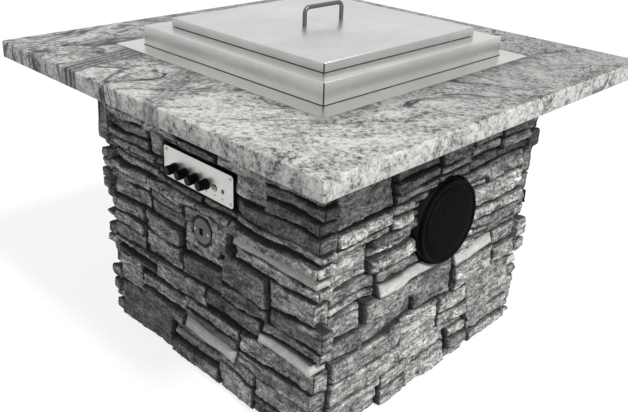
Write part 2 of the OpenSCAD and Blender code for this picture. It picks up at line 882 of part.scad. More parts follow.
module key_valve_body() {
    plug_bore = plug_d + 2 * plug_clear;
    color("#c8a24a")
        difference() {
            union() {
                translate([valve_x, valve_y, valve_z - valve_half_h])
                    cylinder(d = valve_d, h = 2 * valve_half_h);
                out_cylinder(valve_x, valve_y + plug_back + plug_cap, valve_z, sleeve_d,
                    bonnet_l + plug_back + plug_cap);
            }
            translate([valve_x, valve_y, valve_z - valve_half_h - over])
                cylinder(d = pipe_bore, h = 2 * (valve_half_h + over));
            out_cylinder(valve_x, valve_y + plug_back + plug_clear, valve_z, plug_bore,
                bonnet_l + plug_back + plug_clear + over);
        }
}

// The plug's cross hole lies along X while the gas is shut off
module valve_stem() {
    color("#b58f3c")
        difference() {
            union() {
                out_cylinder(valve_x, valve_y + plug_back, valve_z,
                    plug_d, valve_y + plug_back - drive_from_y);
                translate([valve_x - drive_w / 2, drive_from_y - drive_l, valve_z - drive_w / 2])
                    cube([drive_w, drive_l + over, drive_w]);
            }
            translate([valve_x - plug_d, valve_y, valve_z])
                rotate([0, 90, 0]) cylinder(d = plug_port_d, h = 2 * plug_d);
        }
}

module valve_sleeve() {
    color("#6d6f70")
        difference() {
            out_cylinder(valve_x, bonnet_y, valve_z, sleeve_d, bonnet_y - pocket_y);
            out_cylinder(valve_x, bonnet_y + over, valve_z, sleeve_bore, bonnet_y - pocket_y + 2 * over);
        }
}

module valve_locknut() {
    color("#6d6f70")
        difference() {
            translate([valve_x, -frame_half + sleeve_nut_l, valve_z])
                rotate([90, 0, 0]) cylinder(d = sleeve_d + 2 * sleeve_nut_wall, h = sleeve_nut_l, $fn = 6);
            out_cylinder(valve_x, -frame_half + sleeve_nut_l + over, valve_z,
                sleeve_d + fit_gap, sleeve_nut_l + 2 * over);
        }
}

module valve_escutcheon() {
    r = escutcheon_d / 2;
    rim = escutcheon_t / 3;
    color("#8a8c8d")
        difference() {
            translate([valve_x, pocket_y, valve_z])
                rotate([90, 0, 0])
                    rotate_extrude()
                        polygon([
                            [0, 0], [r, 0], [r, rim], [r - rim, 2 * rim],
                            [boss_d / 2 + boss_slope, 2 * rim], [boss_d / 2, escutcheon_t], [0, escutcheon_t]
                        ]);
            translate([valve_x - key_hole_w / 2, pocket_y - escutcheon_t - over, valve_z - key_hole_h / 2])
                cube([key_hole_w, escutcheon_t + 2 * over, key_hole_h]);
            for (x = [-1, 1])
                out_cylinder(valve_x + x * escutcheon_screw_r, pocket_y + over, valve_z,
                    escutcheon_screw_d + fit_gap, escutcheon_t + 2 * over);
        }
}

module escutcheon_screws() {
    face_y = pocket_y - 2 * escutcheon_t / 3;
    bite_y = pocket_y + escutcheon_screw_bite;
    color("#d8d8d4")
        for (x = [-1, 1]) {
            place_x = valve_x + x * escutcheon_screw_r;
            out_cylinder(place_x, face_y, valve_z, escutcheon_screw_head_d, escutcheon_screw_head_h);
            out_cylinder(place_x, bite_y, valve_z, escutcheon_screw_d, bite_y - face_y);
        }
}

// Control plate and amplifier

// Puts a piece at each corner screw of the plate
module at_plate_screws() {
    for (x = [-1, 1])
        for (z = [-1, 1])
            translate([
                plate_x + x * (plate_w / 2 - screw_inset),
                plate_face_y,
                plate_z + z * (plate_h / 2 - screw_inset)
            ])
                children();
}

module control_plate() {
    color("#d0d2d2")
        difference() {
            translate([plate_x, plate_back_y, plate_z]) round_plate(plate_w, plate_h, plate_r, plate_t);
            for (k = [0 : 3])
                out_cylinder(knob_x(k), plate_back_y + over, row_z, bushing_d + fit_gap, plate_t + 2 * over);
            out_cylinder(plate_x + jack_x, plate_back_y + over, row_z,
                jack_nose_d + fit_gap, plate_t + 2 * over);
            out_cylinder(plate_x + mini_x, plate_back_y + over, row_z,
                mini_nose_d + fit_gap, plate_t + 2 * over);
            at_plate_screws() out_cylinder(0, plate_t + over, 0, plate_screw_d + fit_gap, plate_t + 2 * over);
        }
}

module plate_screws() {
    bite_y = plate_t + plate_screw_bite;
    color("#e0e0dc")
        at_plate_screws() {
            out_cylinder(0, 0, 0, plate_screw_head_d, plate_screw_head_h);
            out_cylinder(0, bite_y, 0, plate_screw_d, bite_y);
        }
}

module plate_mounting_box() {
    w = plate_w - 2 * box_trim;
    h = plate_h - 2 * box_trim;
    l = plate_reach - plate_t;
    color("#2b2b2b")
        difference() {
            translate([plate_x - w / 2, plate_back_y, plate_z - h / 2]) cube([w, l, h]);
            translate([plate_x - opening_w / 2, plate_back_y - over, plate_z - opening_h / 2])
                cube([opening_w, l + 2 * over, opening_h]);
        }
}

module potentiometers() {
    color("#7d8288")
        for (k = [0 : 3])
            difference() {
                union() {
                    translate([knob_x(k) - pot_w / 2, plate_back_y, row_z - pot_w / 2])
                        cube([pot_w, pot_depth, pot_w]);
                    out_cylinder(knob_x(k), plate_back_y + over, row_z,
                        bushing_d, plate_t + bushing_l + over);
                }
                out_cylinder(knob_x(k), plate_back_y + shaft_inset + fit_gap, row_z,
                    shaft_d + 2 * shaft_clear, shaft_inset + fit_gap + plate_t + bushing_l + over);
            }
}

// Nut on a bushing of a given diameter, in front of the plate
module panel_nut(x, inner, outer, sides) {
    difference() {
        translate([x, plate_face_y, row_z]) rotate([90, 0, 0]) cylinder(d = outer, h = nut_t, $fn = sides);
        out_cylinder(x, plate_face_y + over, row_z, inner + fit_gap, nut_t + 2 * over);
    }
}

module panel_nuts() {
    color("#c9a860") {
        for (k = [0 : 3])
            panel_nut(knob_x(k), bushing_d, bushing_d + 2 * pot_nut_wall, 6);
        panel_nut(plate_x + jack_x, jack_nose_d, jack_nose_d + 2 * jack_nut_wall, $fn);
        panel_nut(plate_x + mini_x, mini_nose_d, mini_nose_d + 2 * mini_nut_wall, $fn);
    }
}

module knob_shaft(k) {
    from_y = plate_back_y + shaft_inset;
    to_y = plate_face_y - knob_gap - knob_cup - knob_bore_depth + over;
    color("#b8b8b4") out_cylinder(knob_x(k), from_y, row_z, shaft_d, from_y - to_y);
}

module control_knob(k) {
    back_y = plate_face_y - knob_gap;
    grip_r = knob_d / 2 - skirt_step;
    groove_l = knob_l - skirt_l - nose_l - groove_stop;
    cup_d = bushing_d + 2 * cup_clear;
    color("#1c1c1c")
        difference() {
            translate([knob_x(k), back_y, row_z])
                rotate([90, 0, 0])
                    rotate_extrude()
                        polygon([
                            [0, 0], [knob_d / 2, 0], [knob_d / 2, skirt_l], [grip_r, skirt_l],
                            [grip_r, knob_l - nose_l], [grip_r - nose_l, knob_l], [0, knob_l]
                        ]);
            for (i = [0 : knob_grooves - 1])
                translate([knob_x(k), back_y - skirt_l, row_z])
                    rotate([0, i * 360 / knob_grooves, 0])
                        translate([grip_r + groove_d / 6, 0, 0])
                            rotate([90, 0, 0]) cylinder(d = groove_d, h = groove_l);
            out_cylinder(knob_x(k), back_y + over, row_z, cup_d, knob_cup + over);
            out_cylinder(knob_x(k), back_y + over, row_z,
                shaft_d + fit_gap / 2, knob_cup + knob_bore_depth + over);
        }
}

module audio_jack() {
    side = jack_nose_d + 2 * jack_body_wall;
    color("#2a2a2a")
        difference() {
            union() {
                translate([plate_x + jack_x - side / 2, plate_back_y, row_z - side / 2])
                    cube([side, jack_depth, side]);
                out_cylinder(plate_x + jack_x, plate_back_y + over, row_z, jack_nose_d,
                    plate_t + jack_nose + over);
            }
            out_cylinder(plate_x + jack_x, plate_face_y - jack_nose + jack_depth, row_z, jack_bore,
                jack_depth + over);
        }
}

module mini_jack() {
    side = mini_nose_d + 2 * mini_body_wall;
    color("#2a2a2a")
        difference() {
            union() {
                translate([plate_x + mini_x - side / 2, plate_back_y, row_z - side / 2])
                    cube([side, mini_depth, side]);
                out_cylinder(plate_x + mini_x, plate_back_y + over, row_z, mini_nose_d,
                    plate_t + jack_nose + over);
            }
            out_cylinder(plate_x + mini_x, plate_face_y - jack_nose + mini_depth, row_z, mini_bore,
                mini_depth + over);
        }
}

// The tray is open towards the plate and closed above by its cover
module amplifier_tray() {
    tray_h = amp_h - amp_sheet;
    inner_w = amp_w - 2 * amp_sheet;
    post_x = amp_w / 2 - post_edge;
    color("#9a9d9f")
        translate([plate_x, plate_back_y, plate_z - amp_h / 2]) {
            difference() {
                translate([-amp_w / 2, 0, 0]) cube([amp_w, amp_depth, tray_h]);
                translate([-inner_w / 2, -over, amp_sheet])
                    cube([inner_w, amp_depth - amp_sheet + over, amp_h]);
            }
            for (x = [-1, 1])
                for (y = [jack_depth + post_edge, amp_depth - post_edge])
                    translate([x * post_x, y, amp_sheet / 2])
                        cylinder(d = post_d, h = post_h + amp_sheet / 2);
        }
}

module amplifier_cover() {
    color("#8b8e90")
        translate([plate_x - amp_w / 2, plate_back_y, plate_z + amp_h / 2 - amp_sheet])
            cube([amp_w, amp_depth, amp_sheet]);
}

module amplifier_board() {
    w = amp_w - 2 * amp_sheet - 2 * circuit_clear;
    from_y = plate_back_y + jack_depth + circuit_front;
    l = amp_back_y - amp_sheet - circuit_clear - from_y;
    color("#2f6b3d") {
        translate([plate_x - w / 2, from_y, circuit_z]) cube([w, l, circuit_t]);
        for (x = [-1, 1])
            translate([plate_x + x * w / 4 - sink_w / 2, from_y + l / 4, circuit_z + circuit_t / 2])
                cube([sink_w, l / 2, sink_h]);
    }
}

module power_inlet() {
    x = plate_x - amp_w / 4;
    color("#222222")
        difference() {
            out_cylinder(x, amp_back_y + power_l, plate_z, power_d, power_l);
            out_cylinder(x, amp_back_y + power_l + over, plate_z, power_bore, power_l - power_floor + over);
        }
}

// Speaker

module speaker_mounting_ring() {
    color("#1a1a1a")
        on_speaker()
            difference() {
                cylinder(d = speaker_d, h = ring_depth);
                translate([0, 0, -over]) cylinder(d = ring_bore, h = ring_depth + 2 * over);
            }
}

module speaker_basket() {
    throat_r = surround_inner_d / 2 + surround_w - surround_seat;
    floor_r = magnet_d / 2 + basket_rim;
    floor_hole_r = coil_d / 2 + basket_hole_clear;
    top_h = ring_depth;
    color("#2d2f31")
        on_speaker() {
            difference() {
                rotate_extrude()
                    polygon([
                        [floor_hole_r, basket_floor_h], [floor_r, basket_floor_h],
                        [throat_r + basket_t, top_h], [basket_d / 2, top_h],
                        [basket_d / 2, flange_h], [throat_r, flange_h],
                        [floor_r - basket_t, basket_floor_h + basket_t],
                        [floor_hole_r, basket_floor_h + basket_t]
                    ]);
                for (a = [45 : 90 : 315])
                    rotate([0, 0, a])
                        translate([speaker_screw_circle / 2, 0, top_h - over])
                            cylinder(d = speaker_screw_d + fit_gap, h = basket_t + 2 * over);
            }
            translate([
                -magnet_d / 2 - terminal_gap - terminal_w,
                -terminal_w / 2,
                basket_floor_h - terminal_w / 2
            ])
                cube([terminal_w, terminal_w, terminal_w]);
        }
}

module speaker_magnet() {
    slot_in = coil_d / 2 - coil_t - coil_gap;
    slot_out = coil_d / 2 + coil_gap;
    color("#55585a")
        on_speaker()
            translate([0, 0, basket_floor_h - magnet_t])
                rotate_extrude()
                    polygon([
                        [0, 0], [magnet_d / 2, 0], [magnet_d / 2, magnet_t], [slot_out, magnet_t],
                        [slot_out, magnet_floor], [slot_in, magnet_floor], [slot_in, magnet_t], [0, magnet_t]
                    ]);
}

module speaker_surround() {
    color("#141414")
        on_speaker()
            translate([0, 0, flange_h])
                rotate_extrude()
                    translate([surround_mid_r, 0])
                        difference() {
                            circle(d = surround_w);
                            circle(d = surround_w - 2 * surround_wall);
                            translate([-surround_w, -2 * surround_w]) square(2 * surround_w);
                        }
}

module speaker_cone() {
    neck_r = coil_d / 2;
    neck_step = 2 * cone_t;
    cap_r = neck_r - cap_slope;
    color("#202020")
        on_speaker()
            translate([0, 0, cone_base_h])
                rotate_extrude()
                    polygon([
                        [neck_r - coil_t, -coil_l], [neck_r, -coil_l], [neck_r, 0],
                        [cone_d / 2, cone_depth - cone_t], [cone_d / 2, cone_depth],
                        [neck_r + neck_step, cone_t + neck_step],
                        [neck_r - neck_step - cone_t, cap_h - neck_step],
                        [cap_r, cap_h], [0, cap_h + cone_t],
                        [0, cap_h - cone_t], [cap_r, cap_h - 2 * cone_t], [neck_r - coil_t, neck_step]
                    ]);
}

module speaker_grille() {
    r = speaker_d / 2;
    in_r = r - grille_wall;
    groove_r = r - rim_w - rim_chamfer;
    face_r = r - rim_w - rim_groove_w;
    groove_h = rim_h - rim_chamfer;
    mid_r = 0.7 * r;
    mid_h = grille_h - face_drop;
    crown_r = mid_r / 2;
    crown_h = grille_h - face_drop / 5;
    color("#161616")
        on_speaker()
            translate([0, 0, ring_depth])
                rotate_extrude()
                    polygon([
                        [in_r, 0], [r, 0], [r, groove_h], [r - rim_chamfer, rim_h],
                        [r - rim_w, rim_h], [groove_r, groove_h], [face_r, groove_h],
                        [mid_r, mid_h], [crown_r, crown_h], [0, grille_h],
                        [0, grille_h - grille_t], [crown_r, crown_h - grille_t],
                        [mid_r, mid_h - grille_t], [face_r, groove_h - grille_t],
                        [in_r, groove_h - grille_t]
                    ]);
}

module speaker_screws() {
    shank = speaker_screw_bite + basket_t;
    color("#3c3c3c")
        on_speaker()
            for (a = [45 : 90 : 315])
                rotate([0, 0, a])
                    translate([speaker_screw_circle / 2, 0, 0]) {
                        translate([0, 0, flange_h])
                            cylinder(d = speaker_screw_head_d, h = speaker_screw_head_h);
                        translate([0, 0, flange_h - shank]) cylinder(d = speaker_screw_d, h = shank);
                    }
}

module speaker_cable() {
    end_x = half_base + basket_floor_h - terminal_w / 2;
    route = [
        [cable_exit_x, amp_back_y, plate_z],
        [cable_exit_x, cable_turn_y, plate_z],
        [cable_x, cable_turn_y, plate_z],
        [cable_x, speaker_y, plate_z],
        [cable_x, speaker_y, terminal_z],
        [end_x, speaker_y, terminal_z]
    ];
    color("#26282c") {
        for (i = [0 : len(route) - 2])
            rod(route[i], route[i + 1], cable_d / 2);
        for (i = [1 : len(route) - 2])
            translate(route[i]) sphere(d = cable_d + cable_turn_swell);
    }
}

module cable_clips() {
    clip_h = cable_d + 2 * clip_wall;
    run = speaker_y - cable_turn_y;
    from_x = cable_x - cable_d / 2 - clip_wall;
    color("#e4e2da")
        for (share = [0.3, 0.75])
            translate([0, cable_turn_y + share * run, plate_z])
                difference() {
                    translate([from_x, -clip_l / 2, -clip_h / 2]) cube([frame_half - from_x, clip_l, clip_h]);
                    out_cylinder(cable_x, clip_l / 2 + over, 0, cable_d + fit_gap, clip_l + 2 * over);
                }
}

// Lid

module lid_panel() {
    color("#dcdfdf")
        difference() {
            union() {
                translate([-lid_w / 2, -lid_w / 2, lid_under_z]) cube([lid_w, lid_w, sheet_t]);
                translate([0, 0, lid_edge_z]) square_ring(lid_w, lid_w - 2 * sheet_t, lid_h);
            }
            for (y = [-1, 1])
                translate([0, y * handle_pitch / 2, lid_under_z - over])
                    cylinder(d = handle_screw_d + fit_gap, h = sheet_t + 2 * over);
        }
}

// A rod bent to a loop that stands along Y
module lid_handle() {
    bar_z = lid_top_z + handle_h - handle_d / 2;
    post_l = bar_z - handle_bend - lid_top_z;
    color("#9fa3a4") {
        for (y = [-1, 1]) {
            translate([0, y * handle_pitch / 2, lid_top_z]) cylinder(d = handle_d, h = post_l);
            translate([0, y * (handle_pitch / 2 - handle_bend), bar_z - handle_bend])
                rotate([90, 0, y > 0 ? 90 : -90])
                    rotate_extrude(angle = 90)
                        translate([handle_bend, 0]) circle(d = handle_d);
        }
        out_cylinder(0, handle_pitch / 2 - handle_bend, bar_z, handle_d, handle_pitch - 2 * handle_bend);
    }
}

module handle_screws() {
    shank = handle_screw_head_h + sheet_t + handle_screw_bite;
    color("#b8b8b4")
        for (y = [-1, 1])
            translate([0, y * handle_pitch / 2, lid_under_z - handle_screw_head_h]) {
                cylinder(d = handle_screw_head_d, h = handle_screw_head_h);
                cylinder(d = handle_screw_d, h = shank);
            }
}

floor_glides();
frame_posts();
bottom_rails();
top_rails();
front_backer_board();
right_backer_board();
rear_backer_board();
left_backer_board();
board_screws();
front_stone_cladding();
right_stone_cladding();
rear_stone_cladding();
left_stone_cladding();
valve_surround_stone();
granite_top();
burner_pan();
raised_curb();
lava_rock_bed();
burner_ring();
burner_locknut();
gas_pipe_run();
gas_inlet_pipe();
gas_inlet_coupling();
key_valve_body();
valve_stem();
valve_sleeve();
valve_locknut();
valve_escutcheon();
escutcheon_screws();
control_plate();
plate_screws();
plate_mounting_box();
potentiometers();
panel_nuts();
knob_shaft(0);  // knob_shaft_1
knob_shaft(1);  // knob_shaft_2
knob_shaft(2);  // knob_shaft_3
knob_shaft(3);  // knob_shaft_4
control_knob(0);  // control_knob_1
control_knob(1);  // control_knob_2
control_knob(2);  // control_knob_3
control_knob(3);  // control_knob_4
audio_jack();
mini_jack();
amplifier_tray();
amplifier_cover();
amplifier_board();
power_inlet();
speaker_mounting_ring();
speaker_basket();
speaker_magnet();
speaker_surround();
speaker_cone();
speaker_grille();
speaker_screws();
speaker_cable();
cable_clips();
lid_panel();
lid_handle();
handle_screws();
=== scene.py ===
"""Fire pit table: the looks of the packed part, laid out as an add-on.

Each operator makes one piece, or a group of like pieces, around the fixed frame. Everything is in
metres and in the frame's own axes: +Z up, the control plate towards -Y and the speaker towards +X.
"""

import math
import random

import bmesh
import bpy
from bmesh.types import BMEdge, BMFace, BMVert
from bpy.props import FloatProperty, FloatVectorProperty, IntProperty, PointerProperty
from mathutils import Matrix, Quaternion, Vector, kdtree, noise


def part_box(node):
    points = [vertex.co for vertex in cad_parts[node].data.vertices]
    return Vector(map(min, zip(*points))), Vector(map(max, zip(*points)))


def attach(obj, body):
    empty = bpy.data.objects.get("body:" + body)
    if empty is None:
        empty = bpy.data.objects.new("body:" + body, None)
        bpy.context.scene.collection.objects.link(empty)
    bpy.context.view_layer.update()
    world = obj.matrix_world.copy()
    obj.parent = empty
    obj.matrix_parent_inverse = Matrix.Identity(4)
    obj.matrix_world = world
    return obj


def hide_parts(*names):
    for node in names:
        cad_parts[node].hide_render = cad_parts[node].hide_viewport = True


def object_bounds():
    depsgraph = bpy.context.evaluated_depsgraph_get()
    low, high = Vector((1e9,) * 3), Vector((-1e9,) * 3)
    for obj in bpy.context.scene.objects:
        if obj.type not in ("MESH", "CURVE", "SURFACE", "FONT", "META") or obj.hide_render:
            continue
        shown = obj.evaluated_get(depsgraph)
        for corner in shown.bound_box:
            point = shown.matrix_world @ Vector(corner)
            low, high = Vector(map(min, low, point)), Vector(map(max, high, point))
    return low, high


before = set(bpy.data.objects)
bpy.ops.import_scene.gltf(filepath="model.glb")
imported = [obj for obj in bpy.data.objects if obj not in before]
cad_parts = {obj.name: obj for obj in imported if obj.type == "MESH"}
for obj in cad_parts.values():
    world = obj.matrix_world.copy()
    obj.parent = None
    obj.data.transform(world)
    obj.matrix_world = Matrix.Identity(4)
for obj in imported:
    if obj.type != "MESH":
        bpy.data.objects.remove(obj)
CAD_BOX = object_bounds()

bl_info = {
    "name": "Fire pit table",
    "version": (1, 0, 0),
    "blender": (4, 5, 0),
    "location": "View3D > Sidebar > Fire pit",
    "description": "Stacked stone, granite, stainless steel and fittings of a fire pit table",
    "category": "Object",
}

# Pixels of the picture that the camera is set for, and half width of the floor
PICTURE_WIDTH = 628
FLOOR_REACH = 30
# Distance under which two places count as one
TINY = 1e-6
# Part of a normal along an axis under which its face is turned away from that axis, and over which
# it faces along the axis
STEEP = 0.3
FACING = 0.7
FULL_TURN = 2 * math.pi
# Way out of the wall that carries the controls
FRONTWARD = (0, -1, 0)
# Outer face of the backer boards, from the middle of the table
BOARD_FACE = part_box("front_backer_board")[1].x
# Stone that stays beyond the boards at a wall's bare ends, and distance beyond them of a bare face
END_ROOM = 0.012
END_FACE = 0.005
# Depth behind a stone's front from which a face is a pocket's floor
POCKET_DEPTH = 0.0085
# Least length and greatest height of a stone that can be a smooth pale one
SLIM_LENGTH = 0.09
SLIM_HEIGHT = 0.032
# Gap around a fitting where stone isn't moved, band beyond it where stone gets free, and band
# where stone is set back behind the fitting
FITTING_GAP = 0.008
FITTING_BAND = 0.035
SET_BACK_BAND = 0.03
# Width along a wall's rim where courses and joints keep their places
WALL_RIM = 0.05
# CAD nodes of each stone wall
WALL_NODES = {
    "front": ("front_stone_cladding", "valve_surround_stone"),
    "right": ("right_stone_cladding",),
    "rear": ("rear_stone_cladding",),
    "left": ("left_stone_cladding",),
}
# Pieces that are let into each wall
WALL_FITTINGS = {
    "front": ("control_plate", "valve_escutcheon"),
    "right": ("speaker_mounting_ring",),
}
# Where each wall has a smooth pale stone, along the wall and up it
PALE_SPOTS = {
    "front": ((0.245, 0.407), (0.288, 0.208), (0.041, 0.122)),
    "right": ((-0.088, 0.326), (0.161, 0.295)),
    "rear": ((0.100, 0.350), (-0.150, 0.200)),
    "left": ((0.050, 0.300), (-0.200, 0.500)),
}
# Kinds of face on a stone while it is shaped
FRONT, SIDE, BACK, END, POCKET = range(5)
# Depths at which a stone is cut, with and without a bare end
BARE_END_CUTS = (0.004, 0.010, 0.019, 0.028, 0.037)
PLAIN_CUTS = (0.004, 0.010, 0.020)
# Shares of broad waves, bedding steps, fine grain and facets in a split face
RELIEF_SHARES = (0.48, 0.52, 0.18, 0.46)
# Marks that each vertex of a wall carries for the stone's material: its tone, whether it is pale, and its
# painted shade
STONE_MARKS = ("stone_tone", "stone_pale", "stone_painted_shade")
# Bands of dark lines in the granite: place across the slab, lean, half width at the front edge, strength
GRANITE_BANDS = (
    (-0.308, 0.154, 0.026, 0.96),
    (-0.240, 0.600, 0.024, 0.55),
    (-0.420, 0.190, 0.004, 0.60),
    (-0.590, 0.290, 0.004, 0.75),
)
# Gaps from the lava rock to the slab's cut-out and to the pan, and from the lid's edge to the curb
CUT_OUT_GAP = 0.007
PAN_GAP = 0.0005
LID_GAP = 0.0015
# Lean of the flame ports in radians, and their depth
PORT_LEAN = 0.5
PORT_DEPTH = 0.001
# Depth of the lava bed under the rocks' tops, and how much lower a rock lies at a tube
BED_DEPTH = 0.018
ROCK_SINK = 0.011
# Screw head in section, in shares of its radius and height
SCREW_SECTION = ((0, 0), (1, 0), (1, 0.35), (0.93, 0.62), (0.74, 0.86), (0.45, 1), (0, 1))
# Bore and outer radius of the nuts behind the knobs, and the height of every nut
KNOB_NUT = (0.0039, 0.0058)
NUT_HEIGHT = 0.002
# Bore and outer radius of the nut on each socket, and whether it is gilt
SOCKET_NUTS = {"audio_jack": (0.0053, 0.00825, True), "mini_jack": (0.00385, 0.0048, False)}
# Knob's skirt in section: its bore, and distance in from its outer edge and height up to the grip
SKIRT_BORE = 0.0075
SKIRT_SECTION = ((0, 0), (0, 0.0028), (0.0006, 0.0038), (0.0016, 0.0043))
# Foot of a knob's grip, and rise and narrowing of the steps of its rounded top
GRIP_FOOT = 0.0040
GRIP_TOP = ((0.0019, 0.0007), (0.0011, 0.0016))
# Speaker rim in section: distance in from its outer edge, and height
RIM_SECTION = (
    (0.0025, 0), (0, 0), (0, 0.0086), (0.0007, 0.0102), (0.002, 0.0112), (0.006, 0.0112),
    (0.0074, 0.0106), (0.009, 0.0086), (0.013, 0.0086), (0.013, 0.0074), (0.0025, 0.0074),
)
# Edge of the grille: distance in from the rim's outer edge, and height
GRILLE_EDGE = (0.0115, 0.0090)


def even(level):
    """Three equal numbers: a neutral colour, or the same scale on each axis."""
    return (level, level, level)


# Plain metals: tint, roughness, density of the streaks on each axis, smudges, streaks and their depth
METALS = {
    "zinc_plate": ((0.66, 0.66, 0.65), 0.26, even(300.0)),
    "turned_brass": ((0.60, 0.43, 0.17), 0.28, (60.0, 60.0, 900.0)),
    "bent_rod_steel": (even(0.13), 0.42, (500.0, 30.0, 500.0), 0.04, 0.05, 0.00001),
    "heat_dulled_steel": ((0.40, 0.37, 0.34), 0.36, even(200.0), 0.16, 0.1),
    "escutcheon_cast": (even(0.15), 0.46, even(250.0), 0.16, 0.12, 0.00008),
    "amplifier_sheet": ((0.55, 0.56, 0.57), 0.4, (18.0, 700.0, 700.0)),
}
# Plain mottled finishes: dark and light tone, roughness, density of clouds and grain, depth, gloss
MOTTLED = {
    "matt_black_plastic": (even(0.006), even(0.014), 0.6, 30.0, 900.0, 0.00008, 0.15),
    "pointer_paint": (even(0.020), even(0.045), 0.5, 200.0, 1500.0, 0.00002),
    "black_iron": ((0.020, 0.020, 0.021), (0.060, 0.060, 0.062), 0.5, 25.0, 500.0, 0.0003),
    "ferrite": (even(0.05), even(0.11), 0.6, 40.0, 700.0),
    "soft_black_rubber": (even(0.014), even(0.026), 0.55, 50.0, 900.0),
    "coated_paper": (even(0.020), even(0.042), 0.8, 90.0, 1100.0),
    "pale_nylon": ((0.66, 0.65, 0.61), (0.76, 0.75, 0.71), 0.5, 60.0, 900.0, 0.0001),
    "frame_primer": ((0.055, 0.057, 0.060), (0.095, 0.098, 0.102), 0.55, 14.0, 500.0),
    # Fibre cement set darker than bare board, so that the joints between stones show painted shade
    "shaded_fibre_cement": ((0.10, 0.10, 0.097), (0.20, 0.20, 0.195), 0.92, 18.0, 420.0, 0.0006),
    "moulded_nylon": (even(0.028), even(0.052), 0.6, 30.0, 800.0),
    "green_circuit": ((0.010, 0.075, 0.028), (0.020, 0.12, 0.05), 0.4, 120.0, 900.0, 0.0001),
}


# Settings


def length(name, description, default):
    """A property for a length in metres."""
    return FloatProperty(name=name, description=description, default=default, unit="LENGTH", precision=4)


def number(name, description, default):
    """A property for a plain number."""
    return FloatProperty(name=name, description=description, default=default)


def turning(name, description, degrees):
    """A property for an angle that is given in degrees."""
    return FloatProperty(name=name, description=description, default=math.radians(degrees), unit="ROTATION")


def share(name, description, default):
    """A property for a share from 0 to 1."""
    return FloatProperty(name=name, description=description, default=default, subtype="FACTOR", min=0, max=1)


def count_of(name, description, default):
    """A property for a whole number."""
    return IntProperty(name=name, description=description, default=default)


def spot(name, description, default):
    """A property for a place."""
    return FloatVectorProperty(name=name, description=description, default=default, subtype="XYZ")


def colour(name, description, default):
    """A property for a colour."""
    return FloatVectorProperty(
        name=name, description=description, default=(*default, 1.0), subtype="COLOR", size=4, min=0, max=1
    )


class StoneLook(bpy.types.PropertyGroup):
    """Sizes and colours of the stacked stone."""

    spacing: length("Mesh spacing", "Side of the faces that a stone is cut into", 0.0048)
    relief: length("Relief", "Depth of the split face's hollows", 0.0105)
    worn_edge: length("Worn edge", "Width of the worn band along a stone's edges", 0.0048)
    chip: length("Chips", "Depth of the chips along a stone's sides", 0.0032)
    # The dark band along a stone's edges is painted shade in the joints; these two set its width and darkness
    joint: length("Joint", "Width of the dark band along a stone's edges", 0.0045)
    edge_shade_tone: share("Joint tone", "Darkness of the band along a stone's edges", 0.92)
    drift: length("Drift", "How far the courses and joints wander from level and plumb", 0.011)
    seed: count_of("Seed", "Start of the stones' random faces", 7)
    dark: colour("Dark", "Colour of the stone's dark grain", (0.012, 0.012, 0.0115))
    middle: colour("Middle", "Colour of most of the stone", (0.24, 0.24, 0.232))
    light: colour("Light", "Colour of the stone's light grain", (0.66, 0.66, 0.636))
    pale: colour("Pale", "Colour of the few smooth pale stones", (0.72, 0.72, 0.695))


class GraniteLook(bpy.types.PropertyGroup):
    """Sizes and colours of the granite slab."""

    eased_edge: length("Eased edge", "Radius of the slab's edges", 0.003)
    flow: turning("Flow", "Turn of the streaks on the slab", -62)
    light: colour("Light", "Colour of the palest streaks", (0.68, 0.68, 0.658))
    ground: colour("Ground", "Colour of most of the slab", (0.40, 0.40, 0.387))
    cloud: colour("Cloud", "Colour of the grey streaks", (0.085, 0.085, 0.083))
    vein: colour("Vein", "Colour of the dark veins", (0.022, 0.022, 0.023))
    # The top face's painted shade deepens away from this corner
    pale_corner: spot(
        "Pale corner", "Corner of the slab where it is palest",
        (CAD_BOX[1].x, CAD_BOX[0].y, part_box("granite_top")[1].z),
    )


class SteelLook(bpy.types.PropertyGroup):
    """Sizes and colours of the stainless sheet, the lid and its handle."""

    sheet: length("Sheet", "Thickness of the stainless sheet", 0.0015)
    fold: length("Fold", "Radius of a folded edge", 0.0025)
    seam: length("Seam", "Width of an open corner seam", 0.0020)
    bend: length("Handle bend", "Radius of the handle's bends", 0.013)
    tint: colour("Tint", "Colour of the pan and the curb", (0.62, 0.62, 0.605))
    lid_tint: colour("Lid tint", "Colour of the lid", (0.63, 0.63, 0.62))
    # The skirt's tint is the lid's steel painted darker, as shade on its turned-down sides
    shaded_skirt_tint: colour("Skirt tint", "Colour of the lid's turned-down edges", (0.52, 0.52, 0.51))
    # Near-black painted shade in the seams, slots, ports and the band under the curb
    gap: colour("Gap", "Colour in the open seams", (0.010, 0.010, 0.010))


class ControlLook(bpy.types.PropertyGroup):
    """Sizes and colours of the control plate, its knobs and its sockets."""

    corner: length("Plate corner", "Corner radius of the control plate", 0.008)
    screw: length("Plate screw", "Radius of a plate screw's head", 0.0038)
    dot: length("Dot", "Radius of the dots under the controls", 0.0018)
    dot_drop: length("Dot drop", "Distance from a control down to its dot", 0.0165)
    flute: length("Flute", "Depth of a knob's grip flutes", 0.0011)
    flutes: count_of("Flutes", "Grip flutes around a knob", 16)
    pointer: length("Pointer", "Width of a knob's pointer line", 0.0012)
    plate: colour("Plate", "Colour of the control plate", (0.60, 0.60, 0.58))
    knob: colour("Knob", "Colour of the knobs", (0.005, 0.005, 0.005))
    mark: colour("Marks", "Colour of the dots under the controls", (0.030, 0.030, 0.030))
    gilt: colour("Gilt", "Colour of the socket's ring", (0.56, 0.43, 0.22))


class SpeakerLook(bpy.types.PropertyGroup):
    """Sizes and colours of the speaker's grille."""

    pitch: length("Hole pitch", "Distance between two holes of the grille", 0.0048)
    bar: length("Bar", "Half of the metal between two holes", 0.0008)
    paint: colour("Paint", "Colour of the grille", (0.0028, 0.0028, 0.0028))


